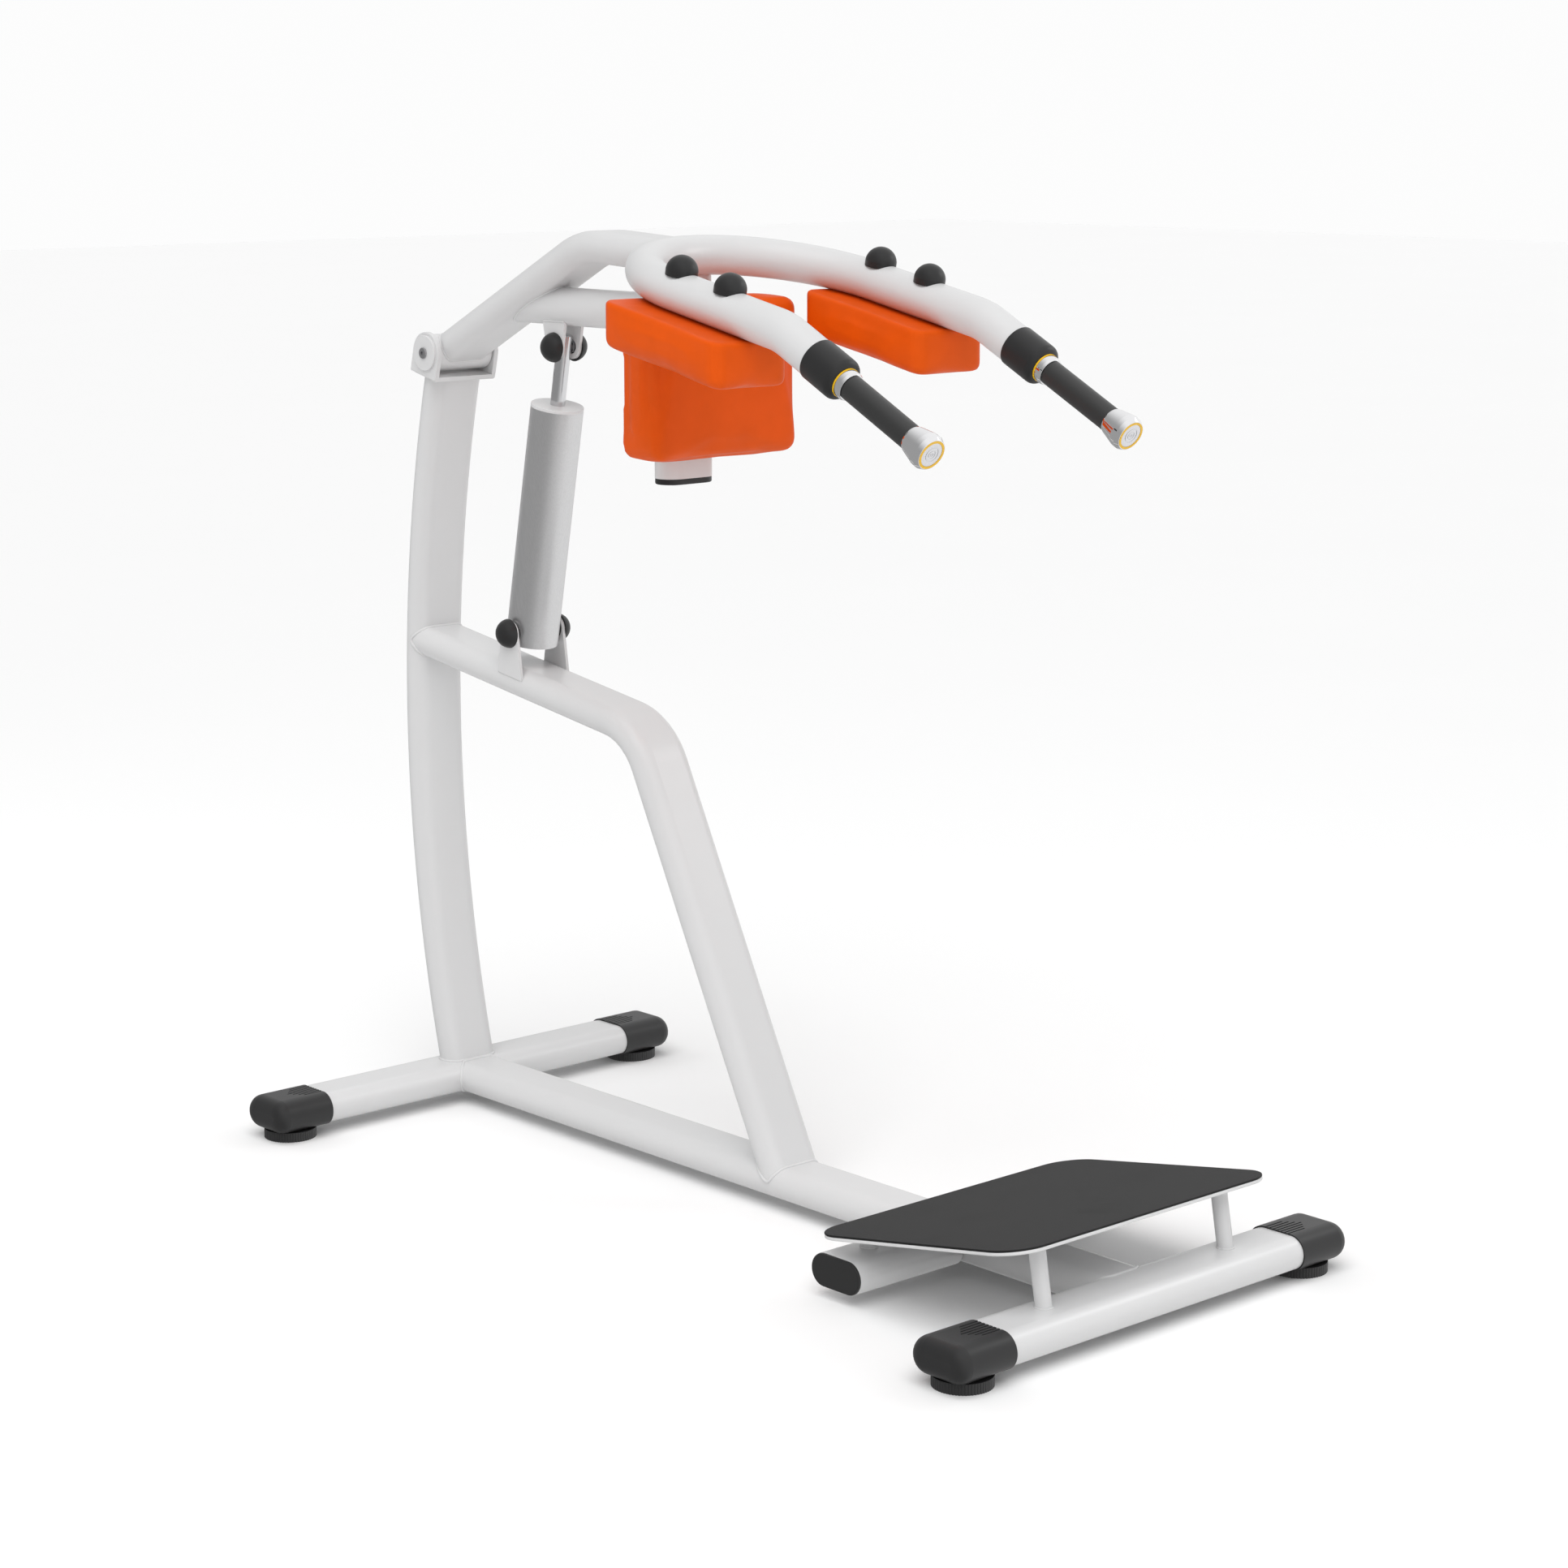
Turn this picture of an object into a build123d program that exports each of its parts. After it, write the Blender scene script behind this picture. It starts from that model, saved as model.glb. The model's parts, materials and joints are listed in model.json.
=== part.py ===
"""Hydraulic squat machine: a base frame, a lever arm with shoulder yoke and a damping cylinder.

Millimetres. +Z is up, -Y is the front (the side that the user faces), X runs across.
The origin is on the floor, in the middle of the machine's length and width.
Stations along Y are measured forward from the axis of the rear crossbar.
"""
from math import atan2, cos, degrees, radians, sin, sqrt, tan
import os

from build123d import *

# ---------------------------------------------------------------- frame tube
tube_width = 100.0  # flat-oval frame tube, long side
tube_height = 50.0  # flat-oval frame tube, short side
tube_wall = 3.0
weld_gap = 0.2  # left between coped tubes, where the weld bead runs
fit_gap = 0.2  # between a plug or cap and its tube
running_gap = 0.3  # between parts that move past each other
bore_clearance = 0.05  # radial, shaft in bush

# ---------------------------------------------------------------- base
base_length = 1545.0  # rear crossbar axis to front crossbar axis
mid_bar_station = 1200.0
rear_foot_spacing = 728.0
front_foot_spacing = 692.0
foot_to_cap_end = 54.0
mid_bar_length = 506.0
foot_height = 15.7
foot_radius = 42.8
foot_ribs = 60
foot_rib_radius = 1.2
foot_rib_offset = 0.4  # centre of a rib's groove, outside the foot
foot_rim = 4.0  # ring that the foot stands on
foot_pad_inset = 12.0  # rim of the foot to its middle pad
foot_recess = 1.0
stud_radius = 6.0
stud_length = 36.0
stud_chamfer = 1.0
foot_nut_height = 12.0
cap_wall = 2.4
cap_end_wall = 16.0
cap_length = 104.0
cap_round = 21.0
groove_count = 7
groove_pitch = 7.0
groove_width = 2.6
groove_depth = 1.0
groove_length = 36.0  # the outermost groove
groove_step = 6.0  # each groove nearer the middle is this much longer

# ---------------------------------------------------------------- upright and brace
upright_top_height = 1229.0
upright_top_station = -5.0  # the top stands this far behind the rear crossbar axis
upright_bow = 72.0  # how far the arc leans back from its chord
brace_top_station = -70.0  # on the centre line of the bowed upright
brace_top_height = 785.0
brace_knee_station = 490.0
brace_knee_height = 702.0
brace_foot_station = 826.0
brace_bend_radius = 120.0

# ---------------------------------------------------------------- main hinge
fork_plate = 8.0
fork_width = 124.0  # over the two ears
fork_depth = 68.0
hinge_rise = 40.0  # hinge axis above the underside of the fork
shaft_radius = 12.5
bush_wall = 3.5
bush_flange = 1.7
pivot_tube_radius = 30.0
bush_flange_radius = 26.0
bush_length = 31.0
fork_corner = 4.0  # bend between the fork's foot and its ears, outside
fork_edge = 1.2
cover_radius = 29.0
cover_thickness = 4.0
cover_round = 1.5
screw_head_radius = 9.0
screw_head_height = 3.0
screw_head_round = 1.2
screw_radius = 5.0
screw_depth = 24.0
screw_end_gap = 2.0  # end of the screw to the bottom of its hole
socket_width = 6.0
socket_depth = 2.4

# ---------------------------------------------------------------- lever arm
arm_slope = 26.6  # degrees above horizontal
arm_knee_station = 374.5
arm_bend_radius = 150.0
arm_end_drop = 3.2  # degrees below horizontal, knee to yoke
link_tube_radius = 30.0
link_tube_height = 1354.0
post_station = 579.0
post_bottom_height = 1107.0
post_bolt_low = 35.0  # above the end plug inside the post
post_bolt_high = 165.0
plug_flange = 9.0
plug_depth = 22.0
plug_inset = 0.5  # flange of a plug inside the outline of its tube
plug_round = 2.5

# ---------------------------------------------------------------- shoulder yoke
yoke_tube_radius = 30.0
yoke_half_width = 197.0
yoke_corner_radius = 190.0
yoke_rear_station = 607.5
yoke_rear_height = 1444.5
yoke_slope = 11.5
yoke_bend_station = 1028.0  # where the arms turn down to the handles
handle_slope = 27.0
yoke_bend_radius = 116.0

# ---------------------------------------------------------------- handles
ferrule_start = 76.0  # from the bend point, along the handle
ferrule_length = 62.0
ferrule_skin = 1.6
ferrule_round = 12.0
ferrule_front = 14.0  # solid front of the ferrule, beyond the end of the yoke tube
bulkhead_thickness = 6.0
ring_thickness = 2.4
ring_lip = 0.6  # ring beyond the collar
collar_length = 12.0
collar_taper = 7.2
collar_rear_radius = 22.0
collar_front_radius = 21.0
handle_bar_radius = 15.0
handle_bar_wall = 2.5
handle_bar_depth = 30.0  # inside the yoke tube
grip_radius = 18.6
grip_length = 134.0
end_cap_length = 42.0
end_cap_lip = 0.6  # rear edge of the cap beyond the grip
end_cap_flare = 3.2  # the same at the cap's neck
end_cap_neck = 12.6  # rear edge to neck
end_cap_shoulder = 32.0  # rear edge to shoulder
end_cap_shoulder_radius = 26.1
end_cap_front_radius = 25.0
end_cap_face = 6.0
end_ring_radius = 21.6
end_ring_proud = 0.5
end_disc_radius = 18.2
face_recess = 2.0
disc_grooves = ((10.1, 8.8), (3.3, 1.8))  # outer and inner radius
disc_groove_depth = 0.6

# ---------------------------------------------------------------- pads
shoulder_pad_width = 146.0
shoulder_pad_length = 266.0
shoulder_pad_thickness = 68.0  # measured upright
shoulder_pad_distance = 105.5  # yoke's rear axis to the pad's rear edge, down the slope
shoulder_bolt_distance = 199.0  # yoke's rear axis to the first bolt, down the slope
shoulder_bolt_spacing = 107.0
back_pad_width = 294.0
back_pad_height = 243.0
back_pad_thickness = 80.0  # with its board
back_pad_bottom = 1142.0
board_thickness = 12.0
pad_corner = 16.0
pad_edge = 8.0
board_inset = 14.0
bolt_radius = 4.0
bolt_head_radius = 7.5
bolt_head_height = 5.0
dome_radius = 24.0
dome_height = 21.0
dome_wall = 2.5
dome_saddle = 6.0  # how far a dome on a round tube reaches down its sides
dome_skirt = 9.0  # straight foot of a dome on a round tube
nut_radius = 9.5
nut_thickness = 8.0
pin_beyond_nut = 1.0

# ---------------------------------------------------------------- cylinder
lower_pin_station = 200.0
lower_pin_height = 826.0
upper_pin_station = 289.0
upper_pin_height = 1290.0
barrel_radius = 42.5
barrel_wall = 4.0
barrel_length = 397.0
barrel_below_pin = 19.0
rod_radius = 12.0
rod_above_pin = 20.0
rod_chamfer = 1.5
pin_radius = 6.0
pin_slack = 1.0  # round the lower pin inside the cylinder's foot
pin_travel = 5.6  # clearance of the upper pin in the ears of the lever arm
ear_thickness = 5.0
lower_ear_gap = 2.5  # barrel to ear
upper_ear_inside = 15.0
ear_tip_radius = 20.0
lower_ear_foot = 62.0
lower_ear_foot_rise = 11.0  # foot of the lower ears above the centre line of the brace
upper_ear_foot = 64.0
piston_thickness = 24.0
piston_station = 150.0  # above the lower pin
gland_depth = 26.0
gland_flange = 5.0
gland_chamfer = 0.8
foot_block_depth = 38.0  # solid foot of the barrel, which holds the lower pin
foot_block_chamfer = 1.0
bush_seat_radius = 17.0
bush_seat_depth = 9.0
bush_body_radius = 10.0
bush_inner_end = 14.0  # from the middle of the barrel
seal_section = 3.0
seal_depth = 8.0  # below the flange of the gland

# ---------------------------------------------------------------- platform
platform_width = 537.0
platform_depth = 416.0
platform_corner = 55.0
platform_plate = 5.0
platform_mat = 3.0
mat_edge = 1.2
plate_edge = 1.5
platform_slope = 10.2
platform_rear_station = 1156.5
platform_rear_height = 96.4  # top of the mat at its rear edge
post_radius = 12.0
post_offset = 187.0

# ---------------------------------------------------------------- worked-out places
tube_half = tube_height / 2
bar_height = foot_height + running_gap + cap_wall + tube_half
bar_top = bar_height + tube_half
cap_width = tube_width + 2 * (cap_wall + fit_gap / 2)
cap_height = tube_height + 2 * cap_wall
inner_width = tube_width - 2 * tube_wall - 2 * fit_gap
inner_height = tube_height - 2 * tube_wall - 2 * fit_gap
through_wall = 4 * tube_wall  # cuts one wall of a tube and the cap on it
from_below = (Align.CENTER, Align.CENTER, Align.MIN)

upright_chord = upright_top_height - bar_top
upright_radius = upright_bow / 2 + upright_chord**2 / (8 * upright_bow)
upright_chord_lean = degrees(atan2(-upright_top_station, upright_chord))
upright_half_turn = degrees(2 * atan2(2 * upright_bow, upright_chord))
upright_top_lean = upright_half_turn - upright_chord_lean  # the top leans forward

front_reach = base_length + cap_width / 2
rear_reach = upright_bow - upright_top_station / 2 + tube_half
rear_y = (front_reach - rear_reach) / 2  # puts the origin in the middle of the length


def station(distance):
    """Y of a place given by its distance forward of the rear crossbar axis."""
    return rear_y - distance


front_y = station(base_length)
mid_y = station(mid_bar_station)
upright_top_y = station(upright_top_station)
hinge_y = upright_top_y - hinge_rise * sin(radians(upright_top_lean))
hinge_z = upright_top_height + hinge_rise * cos(radians(upright_top_lean))
hinge_station = rear_y - hinge_y

arm_knee_height = hinge_z + (arm_knee_station - hinge_station) * tan(radians(arm_slope))
arm_end_height = arm_knee_height - (yoke_rear_station - arm_knee_station) * tan(radians(arm_end_drop))


def across_plane(x, y, z, lean=0.0):
    """Plane across X whose local x points back and local y points up, turned by lean."""
    return Plane(
        origin=(x, y, z),
        x_dir=(0, cos(radians(lean)), sin(radians(lean))),
        z_dir=(1, 0, 0),
    )


def crossbar_plane(x, y):
    """Plane across a crossbar; local x points back and local y points up."""
    return Plane(origin=(x, y, bar_height), x_dir=(0, 1, 0), z_dir=(1, 0, 0))


def oval_tube():
    """Flat-oval tube section, drawn in the active sketch."""
    SlotOverall(tube_width, tube_height)
    SlotOverall(tube_width - 2 * tube_wall, tube_height - 2 * tube_wall, mode=Mode.SUBTRACT)


def oval_bar(plane, length, grow=0.0):
    """Solid flat-oval bar, for coping another tube to a tube's outside."""
    section = plane * SlotOverall(tube_width + 2 * grow, tube_height + 2 * grow)
    return extrude(section, amount=length)


def rod_between(start, end, radius):
    """Solid round bar from one point to another."""
    axis = Vector(*end) - Vector(*start)
    section = Plane(origin=start, z_dir=axis) * Circle(radius)
    return extrude(section, amount=axis.length)


def oval_core(path):
    """Solid of a flat-oval tube's outside along a path, for coping another tube to it."""
    plane = Plane(origin=path @ 0, x_dir=(1, 0, 0), z_dir=path % 0)
    return sweep(plane * SlotOverall(tube_width + 2 * weld_gap, tube_height + 2 * weld_gap), path=path)


def save(part, name):
    """Label a finished sub-part and write its STEP file."""
    part.label = name
    export_step(part, f"parts/{name}.step")


os.makedirs("parts", exist_ok=True)

# ================================================================ base frame
rear_bar_half = rear_foot_spacing / 2 + foot_to_cap_end - cap_end_wall - fit_gap
front_bar_half = front_foot_spacing / 2 + foot_to_cap_end - cap_end_wall - fit_gap
rear_feet = [(-rear_foot_spacing / 2, rear_y), (rear_foot_spacing / 2, rear_y)]
front_feet = [(-front_foot_spacing / 2, front_y), (front_foot_spacing / 2, front_y)]
stud_hole = stud_radius + running_gap
platform_normal = (0.0, sin(radians(platform_slope)), cos(radians(platform_slope)))
platform_rear_y = station(platform_rear_station)

beam_plane = Plane(origin=(0, rear_y, bar_height), x_dir=(1, 0, 0), z_dir=(0, -1, 0))
beam_core = oval_bar(beam_plane, base_length, weld_gap)
bar_cores = [oval_bar(crossbar_plane(-tube_width, y), 2 * tube_width, weld_gap) for y in (rear_y, front_y)]

for name, y, half, feet in (
    ("rear_crossbar", rear_y, rear_bar_half, rear_feet),
    ("front_crossbar", front_y, front_bar_half, front_feet),
):
    with BuildPart() as crossbar:
        with BuildSketch(crossbar_plane(-half, y)):
            oval_tube()
        extrude(amount=2 * half)
        with Locations(*[(x, foot_y, bar_height - tube_half) for x, foot_y in feet]):
            Cylinder(stud_hole, through_wall, mode=Mode.SUBTRACT)
    save(crossbar.part, name)

with BuildPart() as mid_crossbar:
    for side in (-1, 1):
        with BuildSketch(crossbar_plane(side * tube_width / 2 + side * weld_gap, mid_y)):
            oval_tube()
        extrude(amount=side * (mid_bar_length / 2 - tube_width / 2 - weld_gap))
    add(beam_core, mode=Mode.SUBTRACT)
save(mid_crossbar.part, "mid_crossbar")

with BuildPart() as main_beam:
    with BuildSketch(beam_plane):
        oval_tube()
    extrude(amount=base_length)
    for core in bar_cores:
        add(core, mode=Mode.SUBTRACT)
save(main_beam.part, "main_beam")

upright_mid = (0, station(upright_top_station / 2) + upright_bow, (bar_top + upright_top_height) / 2)
with BuildPart() as upright:
    with BuildLine() as upright_path:
        ThreePointArc((0, rear_y, bar_top), upright_mid, (0, upright_top_y, upright_top_height))
    with BuildSketch(Plane(origin=upright_path.line @ 0, x_dir=(1, 0, 0), z_dir=upright_path.line % 0)):
        oval_tube()
    sweep(path=upright_path.line)
    foot_section = Plane(origin=upright_path.line @ 0, x_dir=(1, 0, 0), z_dir=upright_path.line % 0)
    with BuildSketch(foot_section):
        oval_tube()
    extrude(amount=-tube_half)
    split(bisect_by=Plane.XY.offset(bar_top + weld_gap), keep=Keep.TOP)
save(upright.part, "upright")

upright_core = oval_core(upright_path.line)

with BuildPart() as brace_tube:
    with BuildLine(Plane.YZ) as brace_path:
        FilletPolyline(
            (station(brace_top_station), brace_top_height),
            (station(brace_knee_station), brace_knee_height),
            (station(brace_foot_station), bar_height),
            radius=brace_bend_radius,
        )
    with BuildSketch(Plane(origin=brace_path.line @ 0, x_dir=(1, 0, 0), z_dir=brace_path.line % 0)):
        oval_tube()
    sweep(path=brace_path.line)
    add(upright_core, mode=Mode.SUBTRACT)
    add(beam_core, mode=Mode.SUBTRACT)
save(brace_tube.part.solids().sort_by(SortBy.VOLUME)[-1], "brace_tube")

with BuildPart() as mid_bar_plugs:
    for side in (-1, 1):
        with BuildSketch(crossbar_plane(side * mid_bar_length / 2, mid_y)):
            SlotOverall(tube_width - 2 * plug_inset, tube_height - 2 * plug_inset)
        extrude(amount=side * plug_flange / 2)
        outer = mid_bar_plugs.faces().sort_by(Axis.X)[0 if side < 0 else -1]
        fillet(outer.edges(), radius=plug_round)
        with BuildSketch(crossbar_plane(side * mid_bar_length / 2, mid_y)):
            SlotOverall(inner_width, inner_height)
        extrude(amount=-side * plug_depth)
save(mid_bar_plugs.part, "mid_bar_plugs")

with BuildPart() as foot_end_caps:
    for (foot_x, foot_y) in rear_feet + front_feet:
        side = 1 if foot_x > 0 else -1
        end_x = foot_x + side * foot_to_cap_end
        start_x = end_x - side * cap_length
        with BuildSketch(crossbar_plane(start_x, foot_y)):
            SlotOverall(cap_width, cap_height)
        extrude(amount=side * cap_length)
        outer = (
            foot_end_caps.faces()
            .filter_by(GeomType.PLANE)
            .filter_by(Axis.X)
            .filter_by(lambda face: abs(face.center().X - end_x) < 1 and abs(face.center().Y - foot_y) < 1)
        )
        fillet(outer.edges(), radius=cap_round)
        with BuildSketch(crossbar_plane(start_x, foot_y)):
            SlotOverall(tube_width + 2 * fit_gap, tube_height + fit_gap)
        extrude(amount=side * (cap_length - cap_end_wall), mode=Mode.SUBTRACT)
        with Locations((foot_x, foot_y, bar_height - tube_half)):
            Cylinder(stud_hole, through_wall, mode=Mode.SUBTRACT)
        for index in range(groove_count):
            from_middle = index - (groove_count - 1) / 2
            length = groove_length + groove_step * ((groove_count - 1) / 2 - abs(from_middle))
            groove_y = foot_y + from_middle * groove_pitch
            with Locations((start_x + side * length / 2, groove_y, bar_height + cap_height / 2)):
                Box(length, groove_width, 2 * groove_depth, mode=Mode.SUBTRACT)
save(foot_end_caps.part, "foot_end_caps")

nut_floor = bar_height - tube_half + tube_wall + weld_gap
with BuildPart() as foot_nuts:
    with Locations(*[(x, y, nut_floor) for x, y in rear_feet + front_feet]):
        Cylinder(2 * stud_radius, foot_nut_height, align=from_below)
        Cylinder(stud_radius + bore_clearance, foot_nut_height, align=from_below, mode=Mode.SUBTRACT)
save(foot_nuts.part, "foot_nuts")

for name, (x, y) in zip(("rear_left", "rear_right", "front_left", "front_right"), rear_feet + front_feet):
    with BuildPart() as foot:
        with BuildSketch(Plane.XY):
            with Locations((x, y)):
                Circle(foot_radius)
                with PolarLocations(foot_radius + foot_rib_offset, foot_ribs):
                    Circle(foot_rib_radius, mode=Mode.SUBTRACT)
        extrude(amount=foot_height)
        with Locations((x, y, 0)):
            Cylinder(foot_radius - foot_rim, foot_recess, align=from_below, mode=Mode.SUBTRACT)
            Cylinder(foot_radius - foot_pad_inset, foot_recess, align=from_below)
        with Locations((x, y, foot_height)):
            Cylinder(stud_radius, stud_length, align=from_below)
        chamfer(foot.faces().sort_by(Axis.Z)[-1].edges(), length=stud_chamfer)
    save(foot.part, f"levelling_foot_{name}")

# ---------------------------------------------------------------- platform
platform_plane = Plane(
    origin=(0, platform_rear_y, platform_rear_height),
    x_dir=(1, 0, 0),
    z_dir=platform_normal,
)
# local y of the platform plane points to the rear, so the plate lies on the negative side
with BuildPart() as platform_mat_part:
    with BuildSketch(platform_plane):
        with Locations((0, -platform_depth / 2)):
            RectangleRounded(platform_width, platform_depth, platform_corner)
    extrude(amount=-platform_mat)
    fillet(platform_mat_part.faces().sort_by(Axis.Z)[-1].edges(), radius=mat_edge)
save(platform_mat_part.part, "platform_mat")

with BuildPart() as platform_plate_part:
    with BuildSketch(platform_plane.offset(-platform_mat)):
        with Locations((0, -platform_depth / 2)):
            RectangleRounded(platform_width, platform_depth, platform_corner)
    extrude(amount=-platform_plate)
    fillet(platform_plate_part.faces().sort_by(Axis.Z)[0].edges(), radius=plate_edge)
save(platform_plate_part.part, "platform_plate")

platform_under = platform_plane.offset(-platform_mat - platform_plate - weld_gap)
post_bars = [
    oval_bar(crossbar_plane(-half, y), 2 * half, weld_gap)
    for y, half in ((mid_y, mid_bar_length / 2), (front_y, front_bar_half))
]

with BuildPart() as platform_posts:
    for bar_y in (mid_y, front_y):
        for side in (-1, 1):
            base = Vector(side * post_offset, bar_y, bar_height)
            with BuildSketch(Plane(origin=base, x_dir=(1, 0, 0), z_dir=platform_normal)):
                Circle(post_radius)
            extrude(amount=platform_depth)
    split(bisect_by=platform_under, keep=Keep.BOTTOM)
    for core in post_bars:
        add(core, mode=Mode.SUBTRACT)
save(platform_posts.part, "platform_posts")

# ================================================================ main hinge on the upright
fork_plane = Plane(
    origin=(0, upright_top_y, upright_top_height),
    x_dir=(1, 0, 0),
    z_dir=(0, -sin(radians(upright_top_lean)), cos(radians(upright_top_lean))),
)
ear_x = fork_width / 2 - fork_plate
with BuildPart() as hinge_fork:
    with BuildSketch(fork_plane):
        Rectangle(fork_width, fork_depth)
    extrude(amount=fork_plate)
    for side in (-1, 1):
        with BuildSketch(across_plane(side * ear_x, hinge_y, hinge_z, upright_top_lean)):
            Circle(fork_depth / 2)
            with Locations((0, -hinge_rise / 2)):
                Rectangle(fork_depth, hinge_rise)
            Circle(shaft_radius, mode=Mode.SUBTRACT)
        extrude(amount=side * fork_plate)
    across_foot = Axis(fork_plane.origin, fork_plane.y_dir)
    up_fork = Axis(fork_plane.origin, fork_plane.z_dir)
    fillet(hinge_fork.edges().filter_by(across_foot).group_by(up_fork)[0], radius=fork_corner)
    left_face, right_face = hinge_fork.faces().sort_by(Axis.X)[0], hinge_fork.faces().sort_by(Axis.X)[-1]
    fillet(left_face.outer_wire().edges() + right_face.outer_wire().edges(), radius=fork_edge)
save(hinge_fork.part, "hinge_fork")

with BuildPart() as hinge_shaft:
    with BuildSketch(across_plane(-fork_width / 2, hinge_y, hinge_z)):
        Circle(shaft_radius)
    extrude(amount=fork_width)
    for side in (-1, 1):
        with BuildSketch(across_plane(side * fork_width / 2, hinge_y, hinge_z)):
            Circle(screw_radius)
        extrude(amount=-side * screw_depth, mode=Mode.SUBTRACT)
save(hinge_shaft.part, "hinge_shaft")

with BuildPart() as hinge_covers:
    for side in (-1, 1):
        with BuildSketch(across_plane(side * fork_width / 2, hinge_y, hinge_z)):
            Circle(cover_radius)
        extrude(amount=side * cover_thickness)
        outer = hinge_covers.faces().sort_by(Axis.X)[0 if side < 0 else -1]
        fillet(outer.edges(), radius=cover_round)
        with BuildSketch(across_plane(side * fork_width / 2, hinge_y, hinge_z)):
            Circle(screw_radius)
        extrude(amount=side * cover_thickness, mode=Mode.SUBTRACT)
save(hinge_covers.part, "hinge_covers")

with BuildPart() as hinge_screws:
    for side in (-1, 1):
        head_x = side * (fork_width / 2 + cover_thickness)
        with BuildSketch(across_plane(head_x, hinge_y, hinge_z)):
            Circle(screw_head_radius)
        extrude(amount=side * screw_head_height)
        outer = hinge_screws.faces().sort_by(Axis.X)[0 if side < 0 else -1]
        fillet(outer.edges(), radius=screw_head_round)
        with BuildSketch(across_plane(head_x + side * screw_head_height, hinge_y, hinge_z)):
            RegularPolygon(socket_width / 2, 6, major_radius=False)
        extrude(amount=-side * socket_depth, mode=Mode.SUBTRACT)
        with BuildSketch(across_plane(head_x, hinge_y, hinge_z)):
            Circle(screw_radius)
        extrude(amount=-side * (cover_thickness + screw_depth - screw_end_gap))
save(hinge_screws.part, "hinge_screws")

# ================================================================ lever arm
bush_radius = shaft_radius + bush_wall
pivot_half = ear_x - running_gap - bush_flange
with BuildPart() as pivot_tube:
    with BuildSketch(across_plane(-pivot_half, hinge_y, hinge_z)):
        Circle(pivot_tube_radius)
        Circle(bush_radius, mode=Mode.SUBTRACT)
    extrude(amount=2 * pivot_half)
save(pivot_tube.part, "pivot_tube")

with BuildPart() as pivot_bushes:
    for side in (-1, 1):
        with BuildSketch(across_plane(side * pivot_half, hinge_y, hinge_z)):
            Circle(bush_flange_radius)
        extrude(amount=side * bush_flange)
        with BuildSketch(across_plane(side * pivot_half, hinge_y, hinge_z)):
            Circle(bush_radius)
        extrude(amount=-side * bush_length)
        with BuildSketch(across_plane(side * (pivot_half + bush_flange), hinge_y, hinge_z)):
            Circle(shaft_radius + bore_clearance)
        extrude(amount=-side * pivot_half, mode=Mode.SUBTRACT)
save(pivot_bushes.part, "pivot_bushes")

yoke_rear_y = station(yoke_rear_station)
arm_path_points = (
    (hinge_y, hinge_z),
    (station(arm_knee_station), arm_knee_height),
    (yoke_rear_y, arm_end_height),
)
yoke_plane = Plane(
    origin=(0, yoke_rear_y, yoke_rear_height),
    x_dir=(1, 0, 0),
    z_dir=(0, -sin(radians(yoke_slope)), cos(radians(yoke_slope))),
)
# local y of the yoke plane points back and up the slope; the arms run along its negative side


def yoke_bolt_planes(side):
    """Planes across the two bolts of one arm of the yoke, on its centre line; normals point up."""
    return [
        yoke_plane.shift_origin(yoke_plane.from_local_coords((side * yoke_half_width, -distance, 0)))
        for distance in (shoulder_bolt_distance, shoulder_bolt_distance + shoulder_bolt_spacing)
    ]


bolt_planes = yoke_bolt_planes(-1) + yoke_bolt_planes(1)
bend_point = Vector(
    0,
    station(yoke_bend_station),
    yoke_rear_height - (yoke_bend_station - yoke_rear_station) * tan(radians(yoke_slope)),
)
handle_direction = Vector(0, -cos(radians(handle_slope)), -sin(radians(handle_slope)))
tube_end = ferrule_start + ferrule_length - ferrule_front
yoke_end = bend_point + handle_direction * tube_end
yoke_outline = [
    (-yoke_half_width, yoke_end.Y, yoke_end.Z),
    (-yoke_half_width, bend_point.Y, bend_point.Z),
    (-yoke_half_width, yoke_rear_y, yoke_rear_height),
    (yoke_half_width, yoke_rear_y, yoke_rear_height),
    (yoke_half_width, bend_point.Y, bend_point.Z),
    (yoke_half_width, yoke_end.Y, yoke_end.Z),
]
with BuildPart() as yoke_tube:
    with BuildLine() as yoke_path:
        FilletPolyline(
            *yoke_outline,
            radius=(yoke_bend_radius, yoke_corner_radius, yoke_corner_radius, yoke_bend_radius),
        )
    with BuildSketch(Plane(origin=yoke_path.line @ 0, z_dir=yoke_path.line % 0)):
        Circle(yoke_tube_radius)
        Circle(yoke_tube_radius - tube_wall, mode=Mode.SUBTRACT)
    sweep(path=yoke_path.line)
    for base in bolt_planes:
        with Locations(base):
            Cylinder(bolt_radius + fit_gap, 4 * yoke_tube_radius, mode=Mode.SUBTRACT)
save(yoke_tube.part, "yoke_tube")
yoke_core = sweep(
    Plane(origin=yoke_path.line @ 0, z_dir=yoke_path.line % 0) * Circle(yoke_tube_radius + weld_gap),
    path=yoke_path.line,
)

pivot_core = rod_between((-fork_width, hinge_y, hinge_z), (fork_width, hinge_y, hinge_z),
                         pivot_tube_radius + weld_gap)

with BuildPart() as arm_tube:
    with BuildLine(Plane.YZ) as arm_path:
        FilletPolyline(*arm_path_points, radius=arm_bend_radius)
    with BuildSketch(Plane(origin=arm_path.line @ 0, x_dir=(1, 0, 0), z_dir=arm_path.line % 0)):
        oval_tube()
    sweep(path=arm_path.line)
    add(pivot_core, mode=Mode.SUBTRACT)
    add(yoke_core, mode=Mode.SUBTRACT)
arm_solid = arm_tube.part.solids().sort_by(SortBy.VOLUME)[-1]
arm_core = oval_core(arm_path.line)
save(arm_solid, "arm_tube")

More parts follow.
